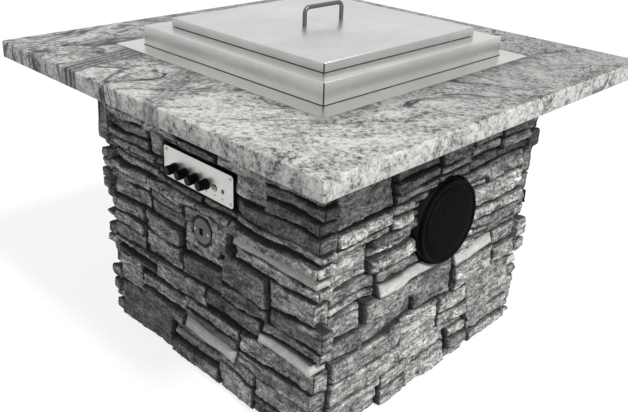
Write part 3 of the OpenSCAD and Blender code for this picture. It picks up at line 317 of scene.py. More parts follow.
class BurnerLook(bpy.types.PropertyGroup):
    """Sizes and colours of the burner and the lava rock."""

    tube: length("Ring tube", "Radius of the tube that the rings are bent from", 0.0095)
    spoke: length("Cross tube", "Radius of the tubes that join the rings", 0.008)
    hub: length("Hub", "Radius of the hub in the middle", 0.0155)
    riser: length("Riser", "Radius of the pipe under the hub", 0.01065)
    inner: share("Inner ring", "Size of the inner ring beside the outer one", 85 / 165)
    port: length("Port", "Radius of a flame port", 0.0014)
    ports: count_of("Ports", "Flame ports on the outer ring", 44)
    rock: length("Rock", "Radius of a common lava rock", 0.0165)
    seed: count_of("Seed", "Start of the rocks' random shapes", 3)
    rock_dark: colour("Dark rock", "Colour of the rock's pits", (0.012, 0.010, 0.009))
    rock_light: colour("Light rock", "Colour of the rock's edges", (0.095, 0.080, 0.072))


class StageLook(bpy.types.PropertyGroup):
    """Floor, light and camera."""

    floor: colour("Floor", "Colour of the floor", (0.99, 0.99, 0.985))
    bounce: colour("Bounce", "Colour of the light that the floor sends back", (0.40, 0.40, 0.40))
    ambient: number("Ambient", "Level of the light from all around", 0.47)
    key: number("Key", "Level of the soft light from the right", 3.3)
    key_from: spot("Key way", "Direction that the light from the right comes from", (0.72, -0.06, 0.88))
    key_width: turning("Key width", "Angle that the light from the right fills", 7)
    glow: share("Glow", "Share of the floor that shows its own white", 0.84)
    top: number("Top", "Level of the soft light from above", 0.15)
    top_from: spot("Top way", "Direction that the light from above comes from", (0.0, -0.15, 1.0))
    top_width: turning("Top width", "Angle that the light from above fills", 70)
    azimuth: turning("Azimuth", "Turn of the camera", 44.562)
    elevation: turning("Elevation", "Rise of the camera", 21.773)
    roll: turning("Roll", "Tilt of the camera", 1.906)
    distance: length("Distance", "Camera to its target", 1.9472)
    focal: number("Focal length", "In pixels of the picture", 791.0)
    drop: number("Drop", "Pixels that the view is shifted down", 56.0)
    target: spot("Target", "Point that the camera looks at", (-0.008, -0.008, 0.4719))


LOOKS = {
    "fire_pit_stone": StoneLook,
    "fire_pit_granite": GraniteLook,
    "fire_pit_steel": SteelLook,
    "fire_pit_control": ControlLook,
    "fire_pit_speaker": SpeakerLook,
    "fire_pit_burner": BurnerLook,
    "fire_pit_stage": StageLook,
}


# Shader nodes


def feed(tree, node, sockets):
    """Sets a node's inputs to values, or links them to fields or other outputs."""
    for key, value in sockets.items():
        value = getattr(value, "socket", value)
        if isinstance(value, bpy.types.NodeSocket):
            tree.links.new(value, node.inputs[key])
        else:
            node.inputs[key].default_value = value


def add(tree, kind, sockets=None, **settings):
    """Adds a shader node with its settings and inputs."""
    node = tree.nodes.new(kind)
    for name, value in settings.items():
        setattr(node, name, value)
    feed(tree, node, sockets or {})
    return node


class Field:
    """An output in a shader tree, a value, a colour or a place, that can be reckoned with."""

    def __init__(self, tree, socket):
        self.tree = tree
        self.socket = socket

    def node(self, kind, sockets, output=0, **settings):
        """An output of a new node in the same tree."""
        return Field(self.tree, add(self.tree, kind, sockets, **settings).outputs[output])

    def calc(self, operation, *others):
        """The result of a Math node on this value and others."""
        return self.node("ShaderNodeMath", dict(enumerate((self, *others))), operation=operation)

    def __add__(self, other):
        return self.calc("ADD", other)

    def __sub__(self, other):
        return self.calc("SUBTRACT", other)

    def __rsub__(self, other):
        return self.calc("MULTIPLY_ADD", -1.0, other)

    def __mul__(self, other):
        return self.calc("MULTIPLY", other)

    def __truediv__(self, other):
        return self.calc("DIVIDE", other)

    def __abs__(self):
        return self.calc("ABSOLUTE")

    def eased(self, low, high, to_low=0.0, to_high=1.0):
        """This value eased from one pair of levels to another."""
        ends = {"Value": self, "From Min": low, "From Max": high, "To Min": to_low, "To Max": to_high}
        return self.node("ShaderNodeMapRange", ends, interpolation_type="SMOOTHSTEP")

    def blend(self, first, second):
        """The colour that goes from the first to the second as this value rises."""
        return self.node("ShaderNodeMix", {0: self, 6: first, 7: second}, 2, data_type="RGBA")

    def ramp(self, first, middle, last):
        """The colour at this value between three stops of position and colour."""
        node = add(self.tree, "ShaderNodeValToRGB", {0: self})
        elements = node.color_ramp.elements
        for element, (position, tint) in zip(elements, (first, last)):
            element.position = position
            element.color = tint
        elements.new(middle[0]).color = middle[1]
        return Field(self.tree, node.outputs[0])

    def bump(self, distance, strength=1.0):
        """The normals of a surface that is raised by this height."""
        return self.node("ShaderNodeBump", {"Height": self, "Distance": distance, "Strength": strength})

    def brightened(self, level):
        """This colour made lighter or darker by a level."""
        return self.node("ShaderNodeHueSaturation", {"Color": self, "Value": level})

    def vector(self, operation, other, output=0):
        """The result of a Vector Math node on this place and another."""
        return self.node("ShaderNodeVectorMath", {0: self, 1: other}, output, operation=operation)

    def grain(self, scale, detail=4.0, roughness=0.6, output=0):
        """A noise's value at this place, or its colour as output 1."""
        sockets = {"Vector": self, "Scale": scale, "Detail": detail, "Roughness": roughness}
        return self.node("ShaderNodeTexNoise", sockets, output)

    def stretched(self, scale, turn=0.0):
        """This place scaled along each axis, after a turn about Z."""
        turned_place = self.node("ShaderNodeMapping", {"Vector": self, "Rotation": (0, 0, turn)})
        return self.node("ShaderNodeMapping", {"Vector": turned_place, "Scale": scale})

    def bent(self, scale, reach):
        """This place moved about by a noise, up to a reach each way."""
        swing = self.grain(scale, 2.0, output=1).vector("SUBTRACT", even(0.5))
        return self.vector("ADD", swing.vector("MULTIPLY", even(2 * reach)))


def new_group(name, inputs, outputs):
    """A shader group with its inputs as fields and its end node."""
    group = bpy.data.node_groups.new(name, "ShaderNodeTree")
    for label, default in inputs.items():
        kind = "NodeSocketFloat" if isinstance(default, float) else "NodeSocketVector"
        group.interface.new_socket(label, in_out="INPUT", socket_type=kind).default_value = default
    for label in outputs:
        group.interface.new_socket(label, in_out="OUTPUT", socket_type="NodeSocketFloat")
    given = group.nodes.new("NodeGroupInput").outputs
    return group, [Field(group, given[label]) for label in inputs], group.nodes.new("NodeGroupOutput")


def mottle_group():
    """Cloudy mask with a fine grain, for stone, cast metal, rubber, plastic and paint."""
    if "mottle" in bpy.data.node_groups:
        return bpy.data.node_groups["mottle"]
    inputs = {"Vector": (0.0, 0.0, 0.0), "Cloud Scale": 12.0, "Grain Scale": 300.0}
    group, (place, cloud_scale, grain_scale), end = new_group("mottle", inputs, ("Cloud", "Grain"))
    cloud = place.grain(cloud_scale, 5.0, 0.62).eased(0.3, 0.7)
    feed(group, end, {"Cloud": cloud, "Grain": place.grain(grain_scale, 3.0, 0.55)})
    return group


def brushed_group():
    """Fine streaks along one axis and faint smudges, for brushed and drawn metal."""
    if "brushed" in bpy.data.node_groups:
        return bpy.data.node_groups["brushed"]
    inputs = {"Vector": (0.0, 0.0, 0.0), "Lines": (20.0, 900.0, 900.0)}
    group, (place, lines), end = new_group("brushed", inputs, ("Streak", "Smudge"))
    smudge = place.grain(7.0).eased(0.35, 0.7)
    feed(group, end, {"Streak": place.vector("MULTIPLY", lines).grain(1.0, 3.0), "Smudge": smudge})
    return group


def use_group(place, group, sockets):
    """The two outputs of a shader group at a place."""
    node = add(place.tree, "ShaderNodeGroup", {"Vector": place, **sockets}, node_tree=group)
    return [Field(place.tree, output) for output in node.outputs]


def new_material(name):
    """A material and its object coordinates."""
    material = bpy.data.materials.new(name)
    material.use_nodes = True
    tree = material.node_tree
    return material, Field(tree, add(tree, "ShaderNodeTexCoord").outputs["Object"])


def surfaced(material, sockets):
    """The material with its shader's inputs set."""
    tree = material.node_tree
    feed(tree, tree.nodes["Principled BSDF"], sockets)
    return material


def tinted(base, factor=1.0):
    """A colour made lighter or darker by a factor, opaque."""
    return (*(c * factor for c in base[:3]), 1.0)


def metal(name, tint, roughness=0.25, lines=(20.0, 900.0, 900.0), smudge=0.06, streak=0.10, depth=0.00004):
    """Brushed or drawn metal with faint smudges."""
    if name in bpy.data.materials:
        return bpy.data.materials[name]
    material, place = new_material(name)
    streaks, smudges = use_group(place, brushed_group(), {"Lines": lines})
    return surfaced(material, {
        "Metallic": 1.0,
        "Base Color": smudges.blend(tinted(tint), tinted(tint, 1 - 1.6 * smudge)),
        "Roughness": streaks * streak + (roughness - streak / 2) + smudges * smudge,
        "Normal": streaks.bump(depth),
    })


def mottled(name, dark, light, roughness=0.6, cloud=12.0, fine=300.0, depth=0.0002, gloss=0.5):
    """Paint, plastic, rubber, board or cast surface with a cloudy tone and a fine grain."""
    if name in bpy.data.materials:
        return bpy.data.materials[name]
    material, place = new_material(name)
    scales = {"Cloud Scale": cloud, "Grain Scale": fine}
    clouds, grains = use_group(place, mottle_group(), scales)
    return surfaced(material, {
        "Specular IOR Level": gloss,
        "Base Color": (clouds * 0.5 + grains * 0.5).blend(tinted(dark), tinted(light)),
        "Roughness": grains * 0.16 + (roughness - 0.08),
        "Normal": grains.bump(depth),
    })


def finish(name):
    """A plain finish from the tables."""
    if name in METALS:
        return metal(name, *METALS[name])
    return mottled(name, *MOTTLED[name])


def stainless(name, tint, roughness):
    """Polished stainless sheet."""
    return metal(name, tint, roughness, (14.0, 14.0, 700.0), 0.07, 0.06, 0.00001)


def black_paint():
    """Black paint on pressed metal."""
    tint = bpy.context.scene.fire_pit_speaker.paint
    return mottled("black_paint", tinted(tint, 0.7), tinted(tint, 1.3), 0.7, 20.0, 1200.0, 0.00005, 0.05)


def painted_gap_shade():
    """Near-black painted shade inside an open seam, a slot or a port, on the sides of screw heads and nuts,
    and in the band under the curb.
    """
    gap = bpy.context.scene.fire_pit_steel.gap
    return mottled("painted_gap_shade", tinted(gap, 0.6), gap, 0.9, 40.0, 600.0)


def ledgestone_material():
    """Split grey stone: bedding lines and cracks, dark grain, a tone for each stone, and painted shade in its
    hollows, along its edges and in the joints.
    """
    look = bpy.context.scene.fire_pit_stone
    material, place = new_material("split_ledgestone")
    tone, pale, painted_shade = (
        place.node("ShaderNodeAttribute", {}, "Fac", attribute_name=mark) for mark in STONE_MARKS
    )
    wavy = place.bent(14.0, 0.012).bent(60.0, 0.003)
    bedding = wavy.stretched((18.0, 18.0, 95.0)).grain(1.0, 6.0, 0.72)
    speckle = place.grain(150.0, 4.0, 0.78)
    patch = place.grain(30.0, 6.0, 0.70)
    layer = wavy.stretched((11.0, 11.0, 60.0)).grain(1.0, 3.0)
    crack = abs(layer - 0.5).eased(0.004, 0.030, 1.0, 0.0) * patch.eased(0.40, 0.60)
    shade = bedding * 0.32 + patch * 0.32 + speckle * 0.36
    grained = shade.ramp((0.42, look.dark), (0.49, look.middle), (0.58, look.light))
    split = (crack * 0.85).blend(grained.brightened(tone * 1.05 + 0.50), look.dark)
    smooth = shade.eased(0.40, 0.60).blend(tinted(look.pale, 0.72), look.pale)
    height = bedding * 0.6 + speckle * 0.34 + patch * 0.5 - crack * 0.20
    return surfaced(material, {
        # Painted shade from the vertex marks darkens hollows, edges, joints and pocket floors
        "Base Color": (painted_shade * 0.95).blend(pale.blend(split, smooth), look.dark),
        "Roughness": speckle.eased(0.3, 0.7, 0.78, 0.96),
        "Normal": height.bump(0.0085),
    })


def granite_material():
    """Granite: a speckled pale ground with thin flowing lines, dark outlines and bands of dark lines."""
    look = bpy.context.scene.fire_pit_granite
    right, front, top = look.pale_corner
    material, place = new_material("veined_granite")
    axes = add(place.tree, "ShaderNodeSeparateXYZ", {0: place}).outputs
    x, y, z = (Field(place.tree, axis) for axis in axes)
    flow = place.bent(1.9, 0.22).bent(6.5, 0.045)
    streak = flow.stretched((6.0, 26.0, 9.0), look.flow).grain(1.0, 6.0, 0.70)
    swirl = flow.stretched((2.4, 7.0, 2.4), look.flow).bent(2.0, 0.30).grain(1.0, 1.5, 0.4)
    patch = flow.grain(16.0, 6.0, 0.70)
    fleck = place.grain(230.0, 3.0, 0.78)
    crystal = place.grain(90.0, 3.0, 0.65)
    gather = place.grain(3.1, 2.0)

    # Ground, with painted shade: darker on the top face, the more so towards the back and away from the pale
    # corner, beside the pan and along the right edge's near end
    away = place.vector("DISTANCE", look.pale_corner, "Value")
    far = away.eased(0.20, 0.95)
    # Painted shade on the top face, so that it reads darker than the edges
    top_shade_mask = z.eased(top - 0.0012, top - 0.0002)
    tone = streak * 0.28 + patch * 0.16 + fleck * 0.26 + crystal * 0.30
    tone = tone - (far * 0.012 + 0.006) * top_shade_mask
    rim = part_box("burner_pan")[1].x
    # Painted shade on the granite round the pan's flange, standing in for its contact shadow
    painted_pan_shade = abs(x).calc("MAXIMUM", abs(y)).eased(rim - 0.004, rim + 0.045, 0.62, 1.0)
    # Painted shade on the slab's right edge, darkest at the near corner
    painted_edge_shade = x.eased(right - 0.004, right - 0.001) * y.eased(front, front + 0.6, 0.05, 0.0)
    painted_shade_level = (1.0 - top_shade_mask * y.eased(-0.40, 0.15, 0.19, 0.44)) * painted_pan_shade * (1.0 - painted_edge_shade)
    ground = tone.ramp((0.42, look.cloud), (0.475, look.ground), (0.54, look.light)).brightened(painted_shade_level)

    # Thin lines along the swirls, then the swirls' dark outlines, both broken by the grain
    crowd = far * 0.20 + gather
    ripple = (swirl * 105.0 + patch * 3.0).calc("SINE")
    line = abs(ripple).eased(0.04, 0.50, 1.0, 0.0) * crowd.eased(0.50, 0.66, 0.05, 0.74)
    step = abs(abs(swirl - 0.5) - 0.05)
    outline = (step / (crystal * 0.034 - 0.005)).eased(0.4, 1.3, 1.0, 0.0) * crowd.eased(0.50, 0.60)
    outline = outline * x.eased(right - 0.022, right - 0.010, 1.0, 0.12)
    broken = (fleck * 0.5 + streak).eased(0.94, 0.74, 0.25, 1.0)
    dark = line.calc("MAXIMUM", outline) * broken

    # Bands of dark lines that run from the front edge to the pan and widen on the way
    front_part = y.eased(-0.22, -0.30)
    widening = y.eased(front, -0.33, 1.0, 1.8)
    wobble = swirl * 0.07 + patch * 0.02
    for band_place, lean, half, strength in GRANITE_BANDS:
        aside = y * lean + x + wobble - (band_place + 0.045)
        band = (abs(aside) / (widening * half)).eased(0.70, 1.25, strength, 0.0)
        wave = (aside * 190.0 + streak * 4.0).calc("SINE")
        strand = abs(wave).eased(0.30, 0.95, 1.0, 0.50)
        dark = dark.calc("MAXIMUM", band * strand * front_part)
    dark = dark * away.eased(0.10, 0.36, 0.12, 1.0)
    return surfaced(material, {
        "Base Color": dark.blend(ground, look.vein),
        "Roughness": fleck.eased(0.3, 0.7, 0.34, 0.52),
        "Specular IOR Level": 0.10,
        "Normal": fleck.bump(0.0003, 0.4),
    })


def lava_material():
    """Rough dark rock full of small pits."""
    look = bpy.context.scene.fire_pit_burner
    material, place = new_material("pitted_lava")
    pits = place.node("ShaderNodeTexVoronoi", {"Vector": place.bent(90.0, 0.003), "Scale": 260.0})
    clouds, grains = use_group(place, mottle_group(), {"Cloud Scale": 40.0})
    return surfaced(material, {
        "Base Color": (pits.eased(0.1, 0.7) * clouds).blend(look.rock_dark, look.rock_light),
        "Roughness": grains.eased(0.3, 0.7, 0.85, 0.98),
        "Normal": pits.bump(0.003),
    })


# Meshes


def only(kind, geom):
    """The items of one kind among the geometry that an operator gives back."""
    return [item for item in geom if isinstance(item, kind)]


def open_edges(bm):
    """The edges along which a sheet ends."""
    return [e for e in bm.edges if len(e.link_faces) == 1]


def is_level(edge, z):
    """Whether an edge lies at a height."""
    return all(abs(v.co.z - z) < TINY for v in edge.verts)


def paint(faces, index):
    """Gives faces one of their piece's materials."""
    for face in faces:
        face.material_index = index


def face_out(bm):
    """Makes the faces of a closed shape look outwards, or those of a sheet agree."""
    bmesh.ops.recalc_face_normals(bm, faces=bm.faces)


def face_up(bm):
    """Makes a sheet's faces agree, with the flattest one looking up."""
    face_out(bm)
    if max(bm.faces, key=lambda f: abs(f.normal.z)).normal.z < 0:
        bmesh.ops.reverse_faces(bm, faces=bm.faces)


def merged(node):
    """A copy of a CAD node with its loose triangles merged to flat faces."""
    bm = bmesh.new()
    bm.from_mesh(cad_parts[node].data)
    bmesh.ops.remove_doubles(bm, verts=bm.verts, dist=TINY)
    flat = math.radians(0.5)
    bmesh.ops.dissolve_limit(bm, angle_limit=flat, verts=bm.verts, edges=bm.edges)
    return bm


def bevelled(bm, geom, offset, segments, affect):
    """Rounds or cuts edges or corners and gives back the new faces."""
    return bmesh.ops.bevel(
        bm, geom=list(geom), offset=offset, offset_type="OFFSET", affect=affect, segments=segments,
        profile=0.5, material=-1, clamp_overlap=affect == "EDGES",
    )["faces"]


def round_edges(bm, edges, radius, segments=2):
    """Rounds edges and gives back the new faces."""
    return bevelled(bm, edges, radius, segments, "EDGES")


def sharp_edges(bm, angle=40.0):
    """The edges that turn by more than an angle in degrees."""
    limit = math.radians(angle)
    return [e for e in bm.edges if len(e.link_faces) == 2 and e.calc_face_angle(0) > limit]


def softened(node, radius):
    """A merged copy of a CAD node with its sharp edges rounded."""
    bm = merged(node)
    round_edges(bm, sharp_edges(bm), radius)
    return bm


def swept(bm, geom, centre, axis, angle, steps):
    """Sweeps geometry about an axis and gives back its last copy. A full turn is closed."""
    return bmesh.ops.spin(
        bm, geom=geom, cent=centre, axis=axis, dvec=(0, 0, 0), angle=angle, steps=steps,
        use_merge=angle == FULL_TURN, use_duplicate=False,
    )["geom_last"]


def aim(bm, centre, direction):
    """Moves a shape made about Z to a centre, with its Z along a direction."""
    turn = Vector(direction).to_track_quat("Z", "Y").to_matrix().to_4x4()
    bmesh.ops.transform(bm, matrix=Matrix.Translation(centre) @ turn, verts=bm.verts)


def turned(profile, steps=64):
    """A closed profile of (radius, height) points turned about Z."""
    bm = bmesh.new()
    verts = [bm.verts.new((r, 0, h)) for r, h in profile]
    edges = [bm.edges.new((a, b)) for a, b in zip(verts, verts[1:] + verts[:1])]
    swept(bm, verts + edges, (0, 0, 0), (0, 0, 1), FULL_TURN, steps)
    bmesh.ops.remove_doubles(bm, verts=bm.verts, dist=TINY)
    bare = [e for e in bm.edges if not e.link_faces]
    bmesh.ops.delete(bm, geom=bare, context="EDGES")
    face_out(bm)
    return bm


def cylinder(centre, direction, radius, depth, segments, top=1.0):
    """A capped cylinder about a centre, whose top can be narrower by a factor."""
    bm = bmesh.new()
    bmesh.ops.create_cone(
        bm, cap_ends=True, segments=segments, radius1=radius, radius2=radius * top, depth=depth
    )
    aim(bm, centre, direction)
    return bm


def square(half, z=0.0, cells=1):
    """A flat square sheet of a half width at a height."""
    bm = bmesh.new()
    matrix = Matrix.Translation((0, 0, z))
    bmesh.ops.create_grid(bm, x_segments=cells, y_segments=cells, size=half, matrix=matrix)
    return bm


def square_sheet(half, opening, z):
    """A flat square sheet with a square opening, and the edges of the opening and of the outside."""
    bm = square(half, z)
    middle = bm.faces[:]
    band = half - opening
    bmesh.ops.inset_region(bm, faces=middle, thickness=band, use_boundary=True, use_even_offset=True)
    bmesh.ops.delete(bm, geom=middle, context="FACES_ONLY")
    rim = open_edges(bm)
    between = (half + opening) / 2
    inner = [e for e in rim if max(abs(c) for v in e.verts for c in v.co.xy) < between]
    return bm, inner, [e for e in rim if e not in inner]


def drawn(bm, edges, z):
    """Extrudes edges straight to a height and gives back the far edges."""
    made = bmesh.ops.extrude_edge_only(bm, edges=edges)["geom"]
    for vert in only(BMVert, made):
        vert.co.z = z
    return [e for e in only(BMEdge, made) if is_level(e, z)]


def thickened(bm, z):
    """Makes a solid plate of a flat sheet, up to a height."""
    made = bmesh.ops.extrude_face_region(bm, geom=bm.faces[:])["geom"]
    for vert in only(BMVert, made):
        vert.co.z = z
    face_out(bm)


def closed(bm):
    """Fills a shape's open ends."""
    bmesh.ops.holes_fill(bm, edges=open_edges(bm), sides=0)
    face_out(bm)


def upright(bm, reach):
    """The vertical edges at the corners of a square of a given half width."""
    return [
        e for e in bm.edges
        if all(abs(abs(v.co.x) - reach) < TINY and abs(abs(v.co.y) - reach) < TINY for v in e.verts)
        and abs(e.verts[0].co.z - e.verts[1].co.z) > TINY
    ]


def fold_box(bm, half, z, seam, fold):
    """Bevels a box's corners into narrow strips painted with near-black shade, as open seams, and rounds its
    folds at a height.
    """
    paint(round_edges(bm, upright(bm, half), seam, 1), 1)
    round_edges(bm, [e for e in sharp_edges(bm) if is_level(e, z)], fold, 3)


def cut_by(bm, place, normal):
    """Cuts every face of a shape along a plane."""
    geom = bm.verts[:] + bm.edges[:] + bm.faces[:]
    bmesh.ops.bisect_plane(bm, geom=geom, dist=TINY, plane_co=place, plane_no=normal)


def screw_head(centre, radius, height, slot_turn):
    """A domed screw head with a driver slot, on the wall that carries the controls; its sides and the slot's
    walls are painted with near-black shade.
    """
    bm = turned([(radius * r, height * h) for r, h in SCREW_SECTION], 20)
    width = radius * 0.16
    for side in (-1, 1):
        cut_by(bm, (side * width, 0, 0), (1, 0, 0))
    floor = height * 0.45
    slot = [
        f for f in bm.faces
        if abs(f.calc_center_median().x) < width and all(v.co.z > floor for v in f.verts)
    ]
    made = bmesh.ops.extrude_face_region(bm, geom=slot)["geom"]
    bmesh.ops.delete(bm, geom=slot, context="FACES")
    for vert in only(BMVert, made):
        vert.co.z = floor
    face_out(bm)
    paint([f for f in bm.faces if abs(f.normal.z) < STEEP], 1)
    bmesh.ops.rotate(bm, verts=bm.verts, cent=(0, 0, 0), matrix=Matrix.Rotation(slot_turn, 3, "Z"))
    aim(bm, centre, FRONTWARD)
    return bm


def joined(*parts):
    """One bmesh of several, which are freed."""
    whole = bmesh.new()
    for part in parts:
        held = bpy.data.meshes.new("held")
        part.to_mesh(held)
        part.free()
        whole.from_mesh(held)
        bpy.data.meshes.remove(held)
    return whole


def settle(name, bm, nodes, materials, angle=40.0, body="base"):
    """Makes a finished object of a bmesh, rides it on its body and stands it for its CAD nodes, if any."""
    mesh = bpy.data.meshes.new(name)
    bm.to_mesh(mesh)
    bm.free()
    for material in materials:
        mesh.materials.append(material)
    mesh.shade_smooth()
    mesh.set_sharp_from_angle(angle=math.radians(angle))
    piece = bpy.data.objects.new(name, mesh)
    bpy.context.scene.collection.objects.link(piece)
    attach(piece, body)
    if nodes:
        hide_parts(*nodes)
    return piece


def dress(material, *nodes):
    """Gives CAD nodes that stay a finished material."""
    for node in nodes:
        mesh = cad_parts[node].data
        mesh.materials.clear()
        mesh.materials.append(material)


# Stone


def clamped(value):
    """A value kept between 0 and 1."""
    return max(0.0, min(1.0, value))


def box_of(bm):
    """The lowest and the highest corner of a bmesh."""
    spans = [[v.co[i] for v in bm.verts] for i in range(3)]
    return Vector([min(span) for span in spans]), Vector([max(span) for span in spans])


def loose_parts(bm):
    """Each loose part of a bmesh as a bmesh of its own, in the order of its faces."""
    seen = set()
    parts = []
    for start in bm.faces[:]:
        if start in seen:
            continue
        seen.add(start)
        island, waiting = [start], [start]
        while waiting:
            for edge in waiting.pop().edges:
                for face in edge.link_faces:
                    if face not in seen:
                        seen.add(face)
                        island.append(face)
                        waiting.append(face)
        part = bmesh.new()
        made = {}
        for face in island:
            for vert in face.verts:
                if vert not in made:
                    made[vert] = part.verts.new(vert.co)
            part.faces.new([made[v] for v in face.verts])
        part.normal_update()
        parts.append(part)
    return parts


def is_slim(size):
    """Whether a stone is long and thin enough to be one of the smooth pale ones."""
    return size.x > SLIM_LENGTH and size.z < SLIM_HEIGHT


def sort_faces(stone, front):
    """Marks a stone's faces as front, side, back, bare end or pocket floor."""
    for face in stone.faces:
        middle = face.calc_center_median()
        if face.normal.y > FACING:
            face.material_index = BACK
        elif face.normal.y < -FACING:
            face.material_index = FRONT if middle.y < front + POCKET_DEPTH else POCKET
        elif abs(face.normal.x) > FACING and abs(middle.x) > BOARD_FACE + END_FACE:
            face.material_index = END
        else:
            face.material_index = SIDE


def cut_stone(stone, spacing, low, high):
    """Cuts a stone's faces into a grid, finer towards its front."""
    bare_end = any(f.material_index == END for f in stone.faces)
    one_back = sum(f.material_index == BACK for f in stone.faces) == 1
    cuts = []
    for axis in (0, 2):
        count = max(2, round((high[axis] - low[axis]) / spacing))
        for i in range(1, count):
            cuts.append((axis, low[axis] + (high[axis] - low[axis]) * i / count))
    cuts += [(1, low.y + depth) for depth in (BARE_END_CUTS if bare_end else PLAIN_CUTS)]
    for axis, place in cuts:
        normal = Vector((axis == 0, axis == 1, axis == 2))
        cut_by(stone, normal * place, normal)
    if one_back and not bare_end:
        back = [f for f in stone.faces if f.material_index == BACK]
        bmesh.ops.dissolve_faces(stone, faces=back, use_verts=False)


def gap_to(co, middle, half):
    """Distance along the wall from a place to a fitting."""
    beside = max(0.0, abs(co.x - middle.x) - half.x)
    above = max(0.0, abs(co.z - middle.z) - half.z)
    return math.hypot(beside, above)


def freedom(co, fittings):
    """0 beside a fitting in the wall and 1 well away from it."""
    gaps = (gap_to(co, *fitting) for fitting in fittings)
    return min((clamped((gap - FITTING_GAP) / FITTING_BAND) for gap in gaps), default=1.0)


def set_back(co, fittings):
    """How far a stone beside a fitting is set back, so that it doesn't stand in front of it."""
    back = 0.0
    for middle, half in fittings:
        near = clamped(1.3 - gap_to(co, middle, half) / SET_BACK_BAND)
        back = max(back, near * (middle.y - half.y - co.y))
    return back


def wander(stone, look, side, foot, head, fittings):
    """Lets courses and joints wander, alike in neighbouring stones, away from fittings and the wall's rim."""
    for vert in stone.verts:
        co = vert.co
        free = look.drift * freedom(co, fittings)
        inside = clamped((BOARD_FACE - abs(co.x)) / WALL_RIM)
        level = clamped(min(co.z - foot, head - co.z) / WALL_RIM)
        place = Vector((co.x * 8, side * 11.3, co.z * 8))
        across = noise.noise(place) * inside
        along = noise.noise(place + Vector((31, 17, 5))) * level
        vert.co.x += free * across
        vert.co.z += free * along


def terrace(value):
    """A value drawn towards steps, as where stone splits along its bedding."""
    step = round(value * 2.5) / 2.5
    return 0.62 * step + 0.38 * value


def split_stone(stone, look, dice, smooth, fittings):
    """Gives a stone its split face, worn edges and chipped sides, and returns the painted shade of each
    vertex: in hollows, along edges and in the joints.
    """
    shift = Vector([dice.uniform(-40, 40) for _ in range(3)])
    relief = look.relief * (0.22 if smooth else dice.uniform(0.75, 1.2))
    worn = look.worn_edge * (0.45 if smooth else dice.uniform(0.7, 1.25))
    lean = 0.30 if smooth else dice.uniform(-0.06, 0.10)
    front = min(v.co.y for v in stone.verts)
    middle_z = sum(v.co.z for v in stone.verts) / len(stone.verts)
    kinds = [{f.material_index for f in v.link_faces} for v in stone.verts]
    bare = ({FRONT}, {END})
    edge_verts = [v for v, k in zip(stone.verts, kinds) if k & {FRONT, END} and k not in bare]
    tree = kdtree.KDTree(len(edge_verts))
    for i, vert in enumerate(edge_verts):
        tree.insert(vert.co, i)
    tree.balance()
    moves = []
    painted_shades = []
    for vert, kind in zip(stone.verts, kinds):
        co = vert.co
        # Back faces and pocket floors get full painted shade, less at a wall's bare ends
        if BACK in kind or kind == {POCKET}:
            bared = (abs(co.x) - BOARD_FACE - END_ROOM) / END_ROOM if BACK in kind else 0.0
            moves.append(Vector())
            painted_shades.append(1 - clamped(bared))
            continue

        # Hollows of the split face and rounding of its edges
        shapes = (
            noise.noise(Vector((co.x * 9, co.y * 5, co.z * 15)) + shift),
            terrace(noise.noise(Vector((co.x * 13, co.y * 9, co.z * 62)) + shift * 1.7)),
            noise.noise(co * 95 + shift),
            noise.voronoi(co * 38 + shift)[0][0] - 0.45,
        )
        hollow = relief * sum(part * shape for part, shape in zip(RELIEF_SHARES, shapes))
        hollow += lean * (co.z - middle_z)
        if hollow < 0:
            hollow *= freedom(co, fittings)
        ragged = worn * (1 + 0.9 * noise.noise(co * 46 - shift))
        near = tree.find(co)[2] if kind & {FRONT, END} else 0.0
        rounding = ragged * 0.85 * max(0.0, 1 - near / max(ragged, 1e-4)) ** 2.5
        fade = max(0.0, 1 - (co.y - front) / 0.024)
        move = Vector((0, (rounding + hollow + set_back(co, fittings)) * fade, 0))
        if END in kind:
            sunk = max(0.0, rounding + hollow + relief * 0.3)
            move.x -= math.copysign(min(sunk, abs(co.x) - BOARD_FACE - END_ROOM), co.x)

        # Chips along the sides
        sides = [f.normal for f in vert.link_faces if f.material_index == SIDE]
        if sides:
            chip = look.chip * (0.5 + 0.5 * noise.noise(co * 34 + shift * 0.6)) * (0.35 if smooth else 1.0)
            inward = sum(sides, Vector())
            inward.y = 0
            if inward.length > TINY:
                move -= inward.normalized() * chip * max(0.0, 1 - (co.y - front) / 0.034)
        moves.append(move)
        # Painted shade: in the face's hollows and worn edges, in a band along its edges, and on the sides the
        # deeper they lie in the joint
        if kind & {FRONT, END}:
            sunken = (0.8 * rounding + max(0.0, hollow) * 0.55) / (worn + relief * 0.55)
            joint = look.edge_shade_tone * max(0.0, 1 - near / look.joint)
            painted_shades.append(min(1.0, max(sunken, joint)) * (0.55 if smooth else 1.0))
        else:
            painted_shades.append(min(1.0, 0.5 + max(0.0, co.y - front) / 0.020))
    for vert, move in zip(stone.verts, moves):
        vert.co += move
    return painted_shades


def wall_fittings(wall, back_turn):
    """Middle and half size of each fitting in a wall, turned as the front wall stands."""
    fittings = []
    for fitting in WALL_FITTINGS.get(wall, ()):
        first, second = (back_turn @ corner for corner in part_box(fitting))
        half = (second - first) / 2
        fittings.append(((first + second) / 2, Vector([abs(c) for c in half])))
    return fittings


